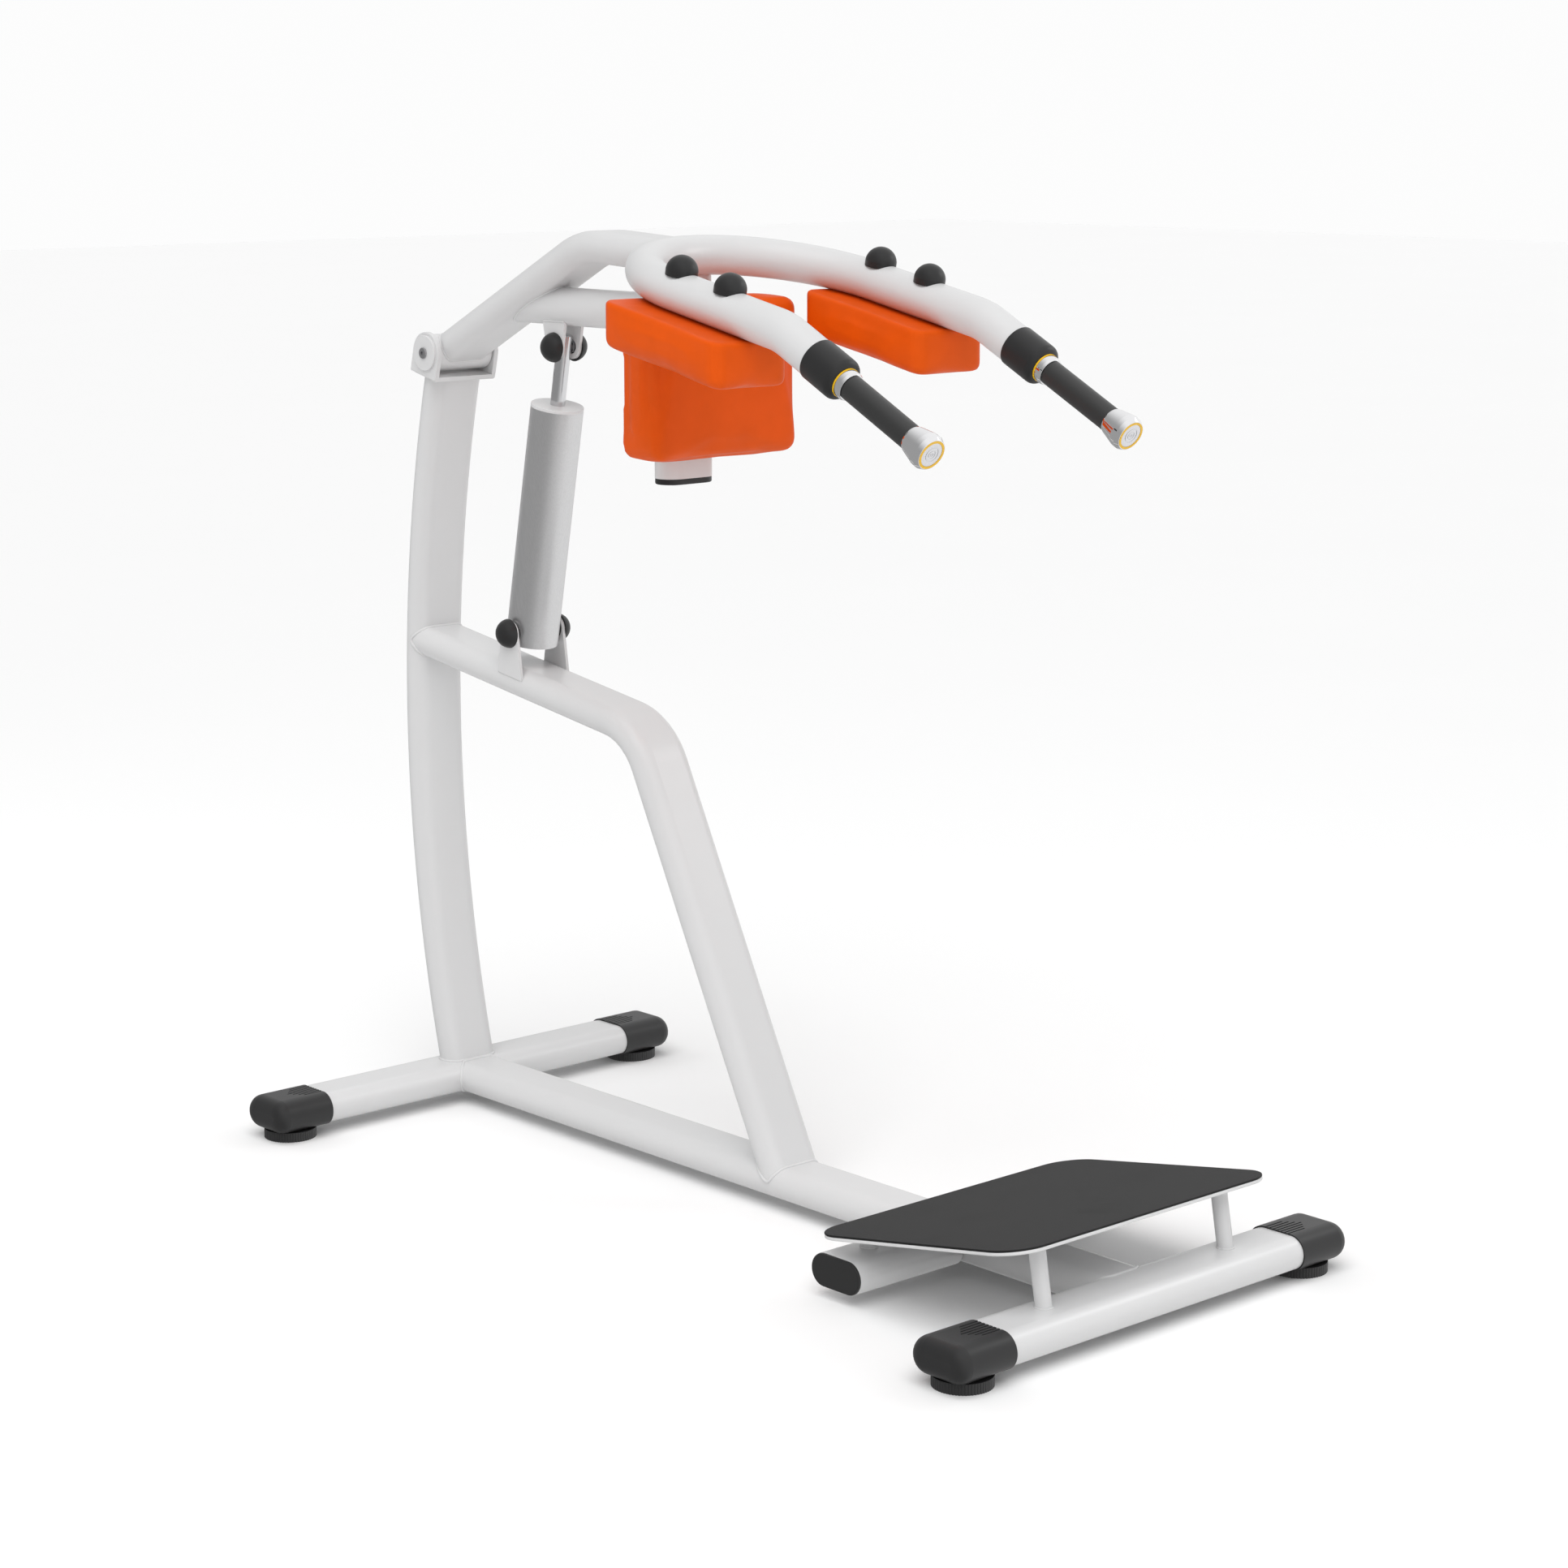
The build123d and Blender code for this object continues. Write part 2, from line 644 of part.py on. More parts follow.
post_y = station(post_station)
post_bolt_heights = [post_bottom_height + plug_depth + height for height in (post_bolt_low, post_bolt_high)]
with BuildPart() as post_tube:
    with BuildSketch(Plane(origin=(0, post_y, post_bottom_height), x_dir=(1, 0, 0), z_dir=(0, 0, 1))):
        oval_tube()
    extrude(amount=arm_end_height - post_bottom_height)
    add(arm_core, mode=Mode.SUBTRACT)
    add(yoke_core, mode=Mode.SUBTRACT)
    with Locations(*[(0, post_y, height) for height in post_bolt_heights]):
        Cylinder(bolt_radius, 2 * tube_height, rotation=(90, 0, 0), mode=Mode.SUBTRACT)
post_solid = post_tube.part.solids().sort_by(SortBy.VOLUME)[-1]
save(post_solid, "back_pad_post")

with BuildPart() as post_plug:
    with BuildSketch(Plane(origin=(0, post_y, post_bottom_height), x_dir=(1, 0, 0), z_dir=(0, 0, 1))):
        SlotOverall(tube_width - 2 * plug_inset, tube_height - 2 * plug_inset)
    extrude(amount=-plug_flange)
    fillet(post_plug.faces().sort_by(Axis.Z)[0].edges(), radius=plug_round)
    with BuildSketch(Plane(origin=(0, post_y, post_bottom_height), x_dir=(1, 0, 0), z_dir=(0, 0, 1))):
        SlotOverall(inner_width, inner_height)
    extrude(amount=plug_depth)
save(post_plug.part, "post_plug")

with BuildPart() as link_tube:
    with BuildSketch(Plane(origin=(0, hinge_y, link_tube_height), z_dir=(0, -1, 0))):
        Circle(link_tube_radius)
        Circle(link_tube_radius - tube_wall, mode=Mode.SUBTRACT)
    extrude(amount=hinge_y - post_y - tube_half - weld_gap)
    add(arm_core, mode=Mode.SUBTRACT)
link_solid = link_tube.part.solids().sort_by(SortBy.VOLUME)[-1]
save(link_solid, "link_tube")

# ---------------------------------------------------------------- cylinder ears
lower_pin = Vector(0, station(lower_pin_station), lower_pin_height)
upper_pin = Vector(0, station(upper_pin_station), upper_pin_height)
brace_slope = atan2(brace_top_height - brace_knee_height, brace_knee_station - brace_top_station)
brace_mid_at_pin = brace_top_height - (lower_pin_station - brace_top_station) * tan(brace_slope)
lower_ear_x = barrel_radius + lower_ear_gap
ear_foot_drop = lower_pin_height - brace_mid_at_pin - lower_ear_foot_rise
brace_core = oval_core(brace_path.line)
with BuildPart() as lower_ears:
    for side in (-1, 1):
        with BuildSketch(across_plane(side * lower_ear_x, lower_pin.Y, lower_pin.Z)):
            with BuildLine():
                Polyline(
                    (-ear_tip_radius, 0),
                    (-lower_ear_foot / 2, -ear_foot_drop - lower_ear_foot / 2 * tan(brace_slope)),
                    (lower_ear_foot / 2, -ear_foot_drop + lower_ear_foot / 2 * tan(brace_slope)),
                    (ear_tip_radius, 0),
                    close=True,
                )
            make_face()
            Circle(ear_tip_radius)
            Circle(pin_radius, mode=Mode.SUBTRACT)
        extrude(amount=side * ear_thickness)
    add(brace_core, mode=Mode.SUBTRACT)
save(lower_ears.part, "lower_ears")

upper_ear_rise = link_tube_height - upper_pin_height
link_core = rod_between((0, hinge_y, link_tube_height), (0, post_y, link_tube_height),
                        link_tube_radius + weld_gap)
with BuildPart() as upper_ears:
    for side in (-1, 1):
        with BuildSketch(across_plane(side * upper_ear_inside, upper_pin.Y, upper_pin.Z)):
            with BuildLine():
                Polyline(
                    (-ear_tip_radius, 0),
                    (-upper_ear_foot / 2, upper_ear_rise),
                    (upper_ear_foot / 2, upper_ear_rise),
                    (ear_tip_radius, 0),
                    close=True,
                )
            make_face()
            Circle(ear_tip_radius)
            Circle(pin_radius + pin_travel, mode=Mode.SUBTRACT)
        extrude(amount=side * ear_thickness)
    add(link_core, mode=Mode.SUBTRACT)
save(upper_ears.part, "upper_ears")


def cap_with_dome(base, skirt=0.0):
    """Hollow domed cap that stands on the plane base, on a straight skirt, in the active part."""
    rim = sqrt(dome_radius**2 - (dome_radius - dome_height) ** 2)
    below_dome = 2 * dome_radius - dome_height + 1
    with Locations(base.offset(skirt + dome_height - dome_radius)):
        Sphere(dome_radius)
        Sphere(dome_radius - dome_wall, mode=Mode.SUBTRACT)
    with Locations(base.offset(skirt)):
        Box(3 * dome_radius, 3 * dome_radius, below_dome, mode=Mode.SUBTRACT,
            align=(Align.CENTER, Align.CENTER, Align.MAX))
    if skirt > 0:
        with Locations(base):
            Cylinder(rim, skirt, align=from_below)
            Cylinder(rim - dome_wall, skirt, align=from_below, mode=Mode.SUBTRACT)


def side_plane(centre, x):
    """Plane at distance x from the middle, whose normal points outwards along X."""
    return Plane(origin=(x, centre.Y, centre.Z), x_dir=(0, 1, 0), z_dir=(1 if x > 0 else -1, 0, 0))


# ---------------------------------------------------------------- lower pin, on the base
lower_ear_face = lower_ear_x + ear_thickness
pin_past_ear = nut_thickness + pin_beyond_nut
upper_ear_face = upper_ear_inside + ear_thickness + running_gap
for name, centre, face in (
    ("lower_pin", lower_pin, lower_ear_face),
    ("upper_pin", upper_pin, upper_ear_face),
):
    with BuildPart() as cross_pin:
        with BuildSketch(Plane(origin=centre, x_dir=(0, 1, 0), z_dir=(1, 0, 0))):
            Circle(pin_radius)
        extrude(amount=face + pin_past_ear, both=True)
    save(cross_pin.part, name)
    with BuildPart() as nuts:
        for side in (-1, 1):
            with BuildSketch(side_plane(centre, side * face)):
                RegularPolygon(nut_radius, 6, major_radius=False)
                Circle(pin_radius, mode=Mode.SUBTRACT)
            extrude(amount=nut_thickness)
    save(nuts.part, f"{name}_nuts")
    with BuildPart() as domes:
        for side in (-1, 1):
            cap_with_dome(side_plane(centre, side * face))
    save(domes.part, f"{name}_domes")

# ================================================================ damping cylinder
cylinder_axis = (upper_pin - lower_pin).normalized()
pin_distance = (upper_pin - lower_pin).length


def cylinder_plane(distance):
    """Plane across the cylinder, at a distance above the lower pin; its normal points up the rod."""
    return Plane(origin=lower_pin + cylinder_axis * distance, x_dir=(1, 0, 0), z_dir=cylinder_axis)


barrel_inner = barrel_radius - barrel_wall
barrel_top = barrel_length - barrel_below_pin
pin_core = rod_between((-barrel_radius, lower_pin.Y, lower_pin.Z), (barrel_radius, lower_pin.Y, lower_pin.Z),
                       pin_radius + pin_slack)
eye_core = rod_between((-rod_radius, upper_pin.Y, upper_pin.Z), (rod_radius, upper_pin.Y, upper_pin.Z),
                       pin_radius)

with BuildPart() as barrel_tube:
    with BuildSketch(cylinder_plane(-barrel_below_pin)):
        Circle(barrel_radius)
        Circle(barrel_inner, mode=Mode.SUBTRACT)
    extrude(amount=barrel_length - gland_flange)
    for side in (-1, 1):
        with BuildSketch(side_plane(lower_pin, side * bush_inner_end)):
            Circle(bush_seat_radius)
        extrude(amount=barrel_radius, mode=Mode.SUBTRACT)
save(barrel_tube.part, "cylinder_barrel")

with BuildPart() as barrel_foot:
    with BuildSketch(cylinder_plane(-barrel_below_pin)):
        Circle(barrel_inner - bore_clearance)
    extrude(amount=foot_block_depth)
    chamfer(barrel_foot.faces().sort_by(Axis.Z)[0].edges(), length=foot_block_chamfer)
    for side in (-1, 1):
        with BuildSketch(side_plane(lower_pin, side * (lower_ear_x - running_gap - bush_seat_depth))):
            Circle(bush_seat_radius)
        extrude(amount=barrel_radius, mode=Mode.SUBTRACT)
        with BuildSketch(side_plane(lower_pin, side * bush_inner_end)):
            Circle(bush_body_radius)
        extrude(amount=barrel_radius, mode=Mode.SUBTRACT)
    add(pin_core, mode=Mode.SUBTRACT)
save(barrel_foot.part, "cylinder_foot")

with BuildPart() as barrel_bushes:
    for side in (-1, 1):
        outer_x = lower_ear_x - running_gap
        with BuildSketch(side_plane(lower_pin, side * (outer_x - bush_seat_depth))):
            Circle(bush_seat_radius)
        extrude(amount=bush_seat_depth)
        with BuildSketch(side_plane(lower_pin, side * bush_inner_end)):
            Circle(bush_body_radius)
        extrude(amount=outer_x - bush_seat_depth - bush_inner_end)
        with BuildSketch(side_plane(lower_pin, side * bush_inner_end)):
            Circle(pin_radius + bore_clearance)
        extrude(amount=outer_x, mode=Mode.SUBTRACT)
save(barrel_bushes.part, "cylinder_bushes")

seal_groove_top = barrel_top - gland_flange - seal_depth
with BuildPart() as gland:
    with BuildSketch(cylinder_plane(barrel_top - gland_flange)):
        Circle(barrel_radius)
    extrude(amount=gland_flange)
    chamfer(gland.faces().sort_by(Axis.Z)[-1].edges(), length=gland_chamfer)
    with BuildSketch(cylinder_plane(barrel_top - gland_flange)):
        Circle(barrel_inner - bore_clearance)
    extrude(amount=-(gland_depth - gland_flange))
    with BuildSketch(cylinder_plane(barrel_top)):
        Circle(rod_radius + bore_clearance)
    extrude(amount=-gland_depth, mode=Mode.SUBTRACT)
    with BuildSketch(cylinder_plane(seal_groove_top)):
        Circle(rod_radius + seal_section)
    extrude(amount=-seal_section - fit_gap, mode=Mode.SUBTRACT)
save(gland.part, "cylinder_gland")

with BuildPart() as rod_seal:
    with BuildSketch(cylinder_plane(seal_groove_top - fit_gap / 2)):
        Circle(rod_radius + seal_section)
        Circle(rod_radius + bore_clearance, mode=Mode.SUBTRACT)
    extrude(amount=-seal_section)
save(rod_seal.part, "rod_seal")

with BuildPart() as rod:
    with BuildSketch(cylinder_plane(piston_station)):
        Circle(rod_radius)
    extrude(amount=pin_distance + rod_above_pin - piston_station)
    chamfer(rod.faces().sort_by(Axis.Z)[-1].edges(), length=rod_chamfer)
    add(eye_core, mode=Mode.SUBTRACT)
save(rod.part, "piston_rod")

piston_groove = piston_station - piston_thickness / 2 - seal_section / 2
with BuildPart() as piston:
    with BuildSketch(cylinder_plane(piston_station)):
        Circle(barrel_inner - bore_clearance)
    extrude(amount=-piston_thickness)
    with BuildSketch(cylinder_plane(piston_groove)):
        Circle(barrel_radius)
        Circle(barrel_inner - bore_clearance - seal_section, mode=Mode.SUBTRACT)
    extrude(amount=seal_section, mode=Mode.SUBTRACT)
save(piston.part, "piston")

with BuildPart() as piston_seal:
    with BuildSketch(cylinder_plane(piston_groove)):
        Circle(barrel_inner - bore_clearance)
        Circle(barrel_inner - bore_clearance - seal_section, mode=Mode.SUBTRACT)
    extrude(amount=seal_section)
save(piston_seal.part, "piston_seal")

with BuildPart() as rod_spacers:
    for side in (-1, 1):
        with BuildSketch(side_plane(upper_pin, side * rod_radius)):
            Circle(bush_body_radius)
            Circle(pin_radius, mode=Mode.SUBTRACT)
        extrude(amount=upper_ear_inside - running_gap - rod_radius)
save(rod_spacers.part, "rod_spacers")

# ================================================================ shoulder pads on the yoke
board_top = -yoke_tube_radius - weld_gap
pad_middle = -shoulder_pad_distance - shoulder_pad_length / 2
for name, side in (("left", -1), ("right", 1)):
    pad_place = (side * yoke_half_width, pad_middle)
    with BuildPart() as shoulder_pad:
        with BuildSketch(yoke_plane.offset(board_top)):
            with Locations(pad_place):
                RectangleRounded(shoulder_pad_width, shoulder_pad_length, pad_corner)
        extrude(amount=shoulder_pad_thickness, dir=(0, 0, -1))
        underside = shoulder_pad.faces().sort_by(Axis(yoke_plane.origin, yoke_plane.z_dir))[0]
        fillet(underside.edges(), radius=pad_edge)
        with BuildSketch(yoke_plane.offset(board_top)):
            with Locations(pad_place):
                Rectangle(shoulder_pad_width - 2 * board_inset + fit_gap,
                          shoulder_pad_length - 2 * board_inset + fit_gap)
        extrude(amount=-board_thickness - fit_gap, mode=Mode.SUBTRACT)
        for base in yoke_bolt_planes(side):
            with Locations(base.offset(board_top)):
                Cylinder(bolt_radius + fit_gap, 2 * board_thickness + through_wall, mode=Mode.SUBTRACT)
    save(shoulder_pad.part, f"shoulder_pad_{name}")

with BuildPart() as shoulder_boards:
    with BuildSketch(yoke_plane.offset(board_top)):
        with Locations((-yoke_half_width, pad_middle), (yoke_half_width, pad_middle)):
            Rectangle(shoulder_pad_width - 2 * board_inset, shoulder_pad_length - 2 * board_inset)
    extrude(amount=-board_thickness)
    for base in bolt_planes:
        with Locations(base.offset(board_top)):
            Cylinder(bolt_radius, 4 * board_thickness, mode=Mode.SUBTRACT)
save(shoulder_boards.part, "shoulder_pad_boards")

with BuildPart() as shoulder_bolts:
    for base in bolt_planes:
        with BuildSketch(base.offset(yoke_tube_radius)):
            RegularPolygon(bolt_head_radius, 6, major_radius=False)
        extrude(amount=bolt_head_height)
        with BuildSketch(base.offset(yoke_tube_radius)):
            Circle(bolt_radius)
        extrude(amount=board_top - board_thickness - yoke_tube_radius)
save(shoulder_bolts.part, "shoulder_bolts")

with BuildPart() as yoke_domes:
    for base in bolt_planes:
        cap_with_dome(base.offset(yoke_tube_radius - dome_saddle), dome_skirt)
    add(yoke_core, mode=Mode.SUBTRACT)
save(yoke_domes.part, "yoke_domes")

# ---------------------------------------------------------------- back pad on its post
board_back_station = post_station + tube_half + weld_gap
back_pad_middle = back_pad_bottom + back_pad_height / 2


def facing_plane(distance):
    """Upright plane at a station; its normal points forward and its local y points up."""
    return Plane(origin=(0, station(distance), 0), x_dir=(1, 0, 0), z_dir=(0, -1, 0))


with BuildPart() as back_pad:
    with BuildSketch(facing_plane(board_back_station)):
        with Locations((0, back_pad_middle)):
            RectangleRounded(back_pad_width, back_pad_height, pad_corner)
    extrude(amount=back_pad_thickness)
    fillet(back_pad.faces().sort_by(Axis.Y)[0].edges(), radius=pad_edge)
    with BuildSketch(facing_plane(board_back_station)):
        with Locations((0, back_pad_middle)):
            Rectangle(back_pad_width - 2 * board_inset + fit_gap, back_pad_height - 2 * board_inset + fit_gap)
    extrude(amount=board_thickness + fit_gap, mode=Mode.SUBTRACT)
save(back_pad.part, "back_pad")

with BuildPart() as back_board:
    with BuildSketch(facing_plane(board_back_station)):
        with Locations((0, back_pad_middle)):
            Rectangle(back_pad_width - 2 * board_inset, back_pad_height - 2 * board_inset)
        with Locations(*[(0, height) for height in post_bolt_heights]):
            Circle(bolt_radius, mode=Mode.SUBTRACT)
    extrude(amount=board_thickness)
save(back_board.part, "back_pad_board")

with BuildPart() as back_pad_bolts:
    with BuildSketch(facing_plane(post_station - tube_half)):
        with Locations(*[(0, height) for height in post_bolt_heights]):
            RegularPolygon(bolt_head_radius, 6, major_radius=False)
    extrude(amount=-bolt_head_height)
    with BuildSketch(facing_plane(post_station - tube_half)):
        with Locations(*[(0, height) for height in post_bolt_heights]):
            Circle(bolt_radius)
    extrude(amount=tube_height + weld_gap + board_thickness)
save(back_pad_bolts.part, "back_pad_bolts")

# ================================================================ handles
ring_start = ferrule_start + ferrule_length
collar_start = ring_start + ring_thickness
grip_start = collar_start + collar_length
end_cap_start = grip_start + grip_length
handle_end = end_cap_start + end_cap_length
bar_end = handle_end - face_recess - end_cap_face


def handle_plane(side, distance):
    """Plane across a handle, at a distance from the point where the yoke bends down."""
    origin = bend_point + handle_direction * distance + Vector(side * yoke_half_width, 0, 0)
    return Plane(origin=origin, x_dir=(1, 0, 0), z_dir=handle_direction)


def ring(outer, inner):
    """Flat ring, drawn in the active sketch."""
    Circle(outer)
    Circle(inner, mode=Mode.SUBTRACT)


with BuildPart() as handle_bulkheads:
    for side in (-1, 1):
        with BuildSketch(handle_plane(side, tube_end - bulkhead_thickness)):
            ring(yoke_tube_radius - tube_wall, handle_bar_radius)
        extrude(amount=bulkhead_thickness)
save(handle_bulkheads.part, "handle_bulkheads")

with BuildPart() as handle_bars:
    for side in (-1, 1):
        with BuildSketch(handle_plane(side, tube_end - handle_bar_depth)):
            ring(handle_bar_radius, handle_bar_radius - handle_bar_wall)
        extrude(amount=bar_end - tube_end + handle_bar_depth)
save(handle_bars.part, "handle_bars")

with BuildPart() as ferrules:
    for side in (-1, 1):
        with BuildSketch(handle_plane(side, ferrule_start)):
            Circle(yoke_tube_radius + ferrule_skin)
        extrude(amount=ferrule_length)
        near_front = ferrules.faces().filter_by(GeomType.PLANE).filter_by(
            lambda face: (face.center() - handle_plane(side, ring_start).origin).length < 1)
        fillet(near_front.edges(), radius=ferrule_round)
        with BuildSketch(handle_plane(side, ferrule_start)):
            Circle(yoke_tube_radius)
        extrude(amount=tube_end - ferrule_start, mode=Mode.SUBTRACT)
        with BuildSketch(handle_plane(side, ferrule_start)):
            Circle(handle_bar_radius)
        extrude(amount=ferrule_length, mode=Mode.SUBTRACT)
save(ferrules.part, "handle_ferrules")

with BuildPart() as collars:
    for side in (-1, 1):
        with BuildSketch(handle_plane(side, collar_start)):
            ring(collar_rear_radius, handle_bar_radius)
        extrude(amount=collar_length)
        front_edge = collars.edges().filter_by(GeomType.CIRCLE).filter_by(
            lambda edge: abs(edge.radius - collar_rear_radius) < 0.01).filter_by(
            lambda edge: (edge.arc_center - handle_plane(side, grip_start).origin).length < 1)
        chamfer(front_edge, length=collar_taper, length2=collar_rear_radius - collar_front_radius)
save(collars.part, "handle_collars")

with BuildPart() as grips:
    for side in (-1, 1):
        with BuildSketch(handle_plane(side, grip_start)):
            ring(grip_radius, handle_bar_radius)
        extrude(amount=grip_length)
save(grips.part, "hand_grips")

end_cap_rear_radius = grip_radius + end_cap_lip
end_face = end_cap_length - face_recess
bar_end_in_cap = bar_end - end_cap_start
with BuildPart() as end_caps:
    for side in (-1, 1):
        plane = handle_plane(side, end_cap_start)
        section = Plane(origin=plane.origin, x_dir=(1, 0, 0), z_dir=Vector(1, 0, 0).cross(handle_direction))
        with BuildSketch(section):
            with BuildLine():
                Polyline((end_cap_front_radius, end_cap_length), (end_ring_radius, end_cap_length),
                         (end_ring_radius, end_face), (0, end_face), (0, bar_end_in_cap),
                         (handle_bar_radius, bar_end_in_cap), (handle_bar_radius, 0),
                         (end_cap_rear_radius, 0))
                Spline((end_cap_rear_radius, 0), (grip_radius + end_cap_flare, end_cap_neck),
                       (end_cap_shoulder_radius, end_cap_shoulder), (end_cap_front_radius, end_cap_length))
            make_face()
        revolve(axis=Axis(plane.origin, handle_direction), revolution_arc=360)
save(end_caps.part, "handle_end_caps")

with BuildPart() as handle_rings:
    for side in (-1, 1):
        with BuildSketch(handle_plane(side, ring_start)):
            ring(collar_rear_radius + ring_lip, handle_bar_radius)
        extrude(amount=ring_thickness)
        with BuildSketch(handle_plane(side, handle_end - face_recess)):
            ring(end_ring_radius, end_disc_radius)
        extrude(amount=face_recess + end_ring_proud)
save(handle_rings.part, "handle_rings")

with BuildPart() as end_discs:
    for side in (-1, 1):
        with BuildSketch(handle_plane(side, handle_end - face_recess)):
            Circle(end_disc_radius)
        extrude(amount=face_recess)
        with BuildSketch(handle_plane(side, handle_end)):
            for outer_radius, inner_radius in disc_grooves:
                ring(outer_radius, inner_radius)
        extrude(amount=-disc_groove_depth, mode=Mode.SUBTRACT)
save(end_discs.part, "handle_end_discs")
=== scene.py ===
"""Looks of a hydraulic squat machine: upholstery, weld beads, handle trim, finishes and a studio.

Metres. +Z is up, -Y is the front that the user faces, X runs across. Sizes and places come from the
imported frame. Each piece or group of like pieces has its own operator in the Squat Machine panel.
"""
import json
from math import cos, radians, sin

import bmesh
import bpy
import numpy as np
from bpy.props import FloatProperty, FloatVectorProperty, IntProperty, PointerProperty
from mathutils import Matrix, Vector
from mathutils.bvhtree import BVHTree
from mathutils.kdtree import KDTree


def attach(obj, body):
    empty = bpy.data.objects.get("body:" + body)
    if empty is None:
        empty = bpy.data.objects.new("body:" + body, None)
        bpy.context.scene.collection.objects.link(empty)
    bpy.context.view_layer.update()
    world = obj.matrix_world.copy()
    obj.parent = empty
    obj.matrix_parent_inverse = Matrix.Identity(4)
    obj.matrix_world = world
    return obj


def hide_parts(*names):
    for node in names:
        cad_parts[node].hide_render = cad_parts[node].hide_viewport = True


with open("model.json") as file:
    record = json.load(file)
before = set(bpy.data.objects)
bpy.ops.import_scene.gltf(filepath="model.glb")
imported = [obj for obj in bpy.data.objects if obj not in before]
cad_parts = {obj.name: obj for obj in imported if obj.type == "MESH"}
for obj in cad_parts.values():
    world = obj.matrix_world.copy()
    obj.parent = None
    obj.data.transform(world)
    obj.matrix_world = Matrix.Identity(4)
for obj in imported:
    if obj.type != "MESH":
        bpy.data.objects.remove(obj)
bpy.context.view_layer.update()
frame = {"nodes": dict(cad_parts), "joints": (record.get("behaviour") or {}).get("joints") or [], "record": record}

bl_info = {
    "name": "Squat Machine Finish",
    "version": (1, 0, 0),
    "blender": (4, 5, 0),
    "location": "View3D > Sidebar > Squat Machine",
    "description": "Upholstery, weld beads, handle trim, finishes and studio for a hydraulic squat machine",
    "category": "Object",
}

MM = 0.001
LEFT, RIGHT = -1, 1
COVER_GAP = 0.1 * MM  # a pad's cover reaches this far past its CAD solid, towards the board
BAR_NECK = 15.1 * MM  # inner radius of the trim that sits round a handle bar
MASK_RANGE = (0.3, 0.7)  # a noise texture seldom leaves this range

# A Mix node has sockets of the same name for each kind of value, so the colour's own go by number.
MIX_FIRST, MIX_SECOND, MIX_RESULT = 6, 7, 2

# The surround fades from its dark to its light value as a reflection turns towards this direction.
LIGHT_SIDE = (0.66, -0.58, 0.48)
LIGHT_FADE = (-0.55, 0.6)
SENSOR_WIDTH = 36.0  # of the camera, in millimetres
OVERHEAD_PLACE = (-1.6, -1.4, 4.6)
# Name, place, side and power in watts of each soft light.
SOFTBOXES = (
    ("front_softbox", (-2.4, -2.6, 2.2), 1.3, 11.0),
    ("side_softbox", (2.6, -1.6, 2.6), 1.1, 8.0),
    ("rear_softbox", (-1.2, 3.0, 2.4), 1.3, 8.0),
)
REFLECTED_LIGHT = "side_softbox"  # the only one that shows in polished parts


# ---------------------------------------------------------------- settings
def colour_setting(name, description, default):
    """Setting for a colour."""
    return FloatVectorProperty(name=name, description=description, subtype="COLOR", size=3, min=0, max=1,
                               default=default)


def length_setting(name, description, default, **limits):
    """Setting for a length in metres."""
    return FloatProperty(name=name, description=description, unit="LENGTH", default=default, **limits)


class SquatColours(bpy.types.PropertyGroup):
    """Colours of the machine's finishes."""

    frame_white: colour_setting("Frame", "Powder coat of the tubes and plates", (0.675, 0.675, 0.678))
    upholstery: colour_setting("Upholstery", "Coated cloth of the pads", (0.76, 0.091, 0.002))
    moulding_black: colour_setting("Mouldings", "Caps, domes, plugs and ferrules", (0.021, 0.021, 0.0215))
    mat_black: colour_setting("Platform mat", "Anti-slip sheet on the platform", (0.0125, 0.0125, 0.0128))
    grip_grey: colour_setting("Grips", "Rubber sleeves of the handles", (0.027, 0.027, 0.027))
    accent_yellow: colour_setting("Accent rings", "Thin rings on the handles", (0.86, 0.50, 0.008))


class SquatPads(bpy.types.PropertyGroup):
    """Shape of the upholstered pads."""

    plan_corner: length_setting(
        "Corner radius", "Upright corners of a pad, seen square on", 0.021, min=0.004)
    face_edge: length_setting(
        "Face edge radius", "Edge between a pad's face and its sides", 0.012, min=0.002)
    board_edge: length_setting(
        "Board edge radius", "Edge where the cover turns over the board", 0.0035, min=0.001)
    crown: length_setting("Crown", "Rise of the middle of the face", 0.0035, min=0)
    side_pull: length_setting("Side pull", "How far the sides draw in between corners", 0.0016, min=0)
    start_inset: length_setting(
        "Start inset", "The pad starts this much smaller before it swells", 0.0022, min=0)
    swell_limit: length_setting(
        "Swell limit", "Farthest that a point may move as the pad fills", 0.0042, min=0)
    voxel: length_setting("Voxel", "Mesh size of the simulated cover", 0.0045, min=0.002)
    pressure: FloatProperty(
        name="Pressure", description="Filling pressure of the cloth simulation", min=0, default=4.0)
    stiffness: FloatProperty(
        name="Stiffness", description="How much the cover withstands stretching", min=0, default=40.0)
    bending: FloatProperty(
        name="Bending", description="How much the cover withstands bending", min=0, default=6.0)
    frames: IntProperty(
        name="Frames", description="Length of the cloth simulation", min=2, default=20)
    evening: IntProperty(
        name="Evening", description="Rounds that smooth puckers out of the swelling", min=0, default=24)


class SquatTrim(bpy.types.PropertyGroup):
    """Sizes of the small trim."""

    bead_radius: length_setting("Weld bead", "Radius of a weld bead between tubes", 0.0028, min=0.0005)
    small_bead_radius: length_setting(
        "Small weld bead", "Radius of a bead round a plate or a post", 0.0018, min=0.0005)
    bead_pitch: length_setting("Bead pitch", "Distance between two ripples of a bead", 0.0042, min=0.001)
    turn_steps: IntProperty(
        name="Turn steps", description="Faces round a turned piece", min=24, default=96)


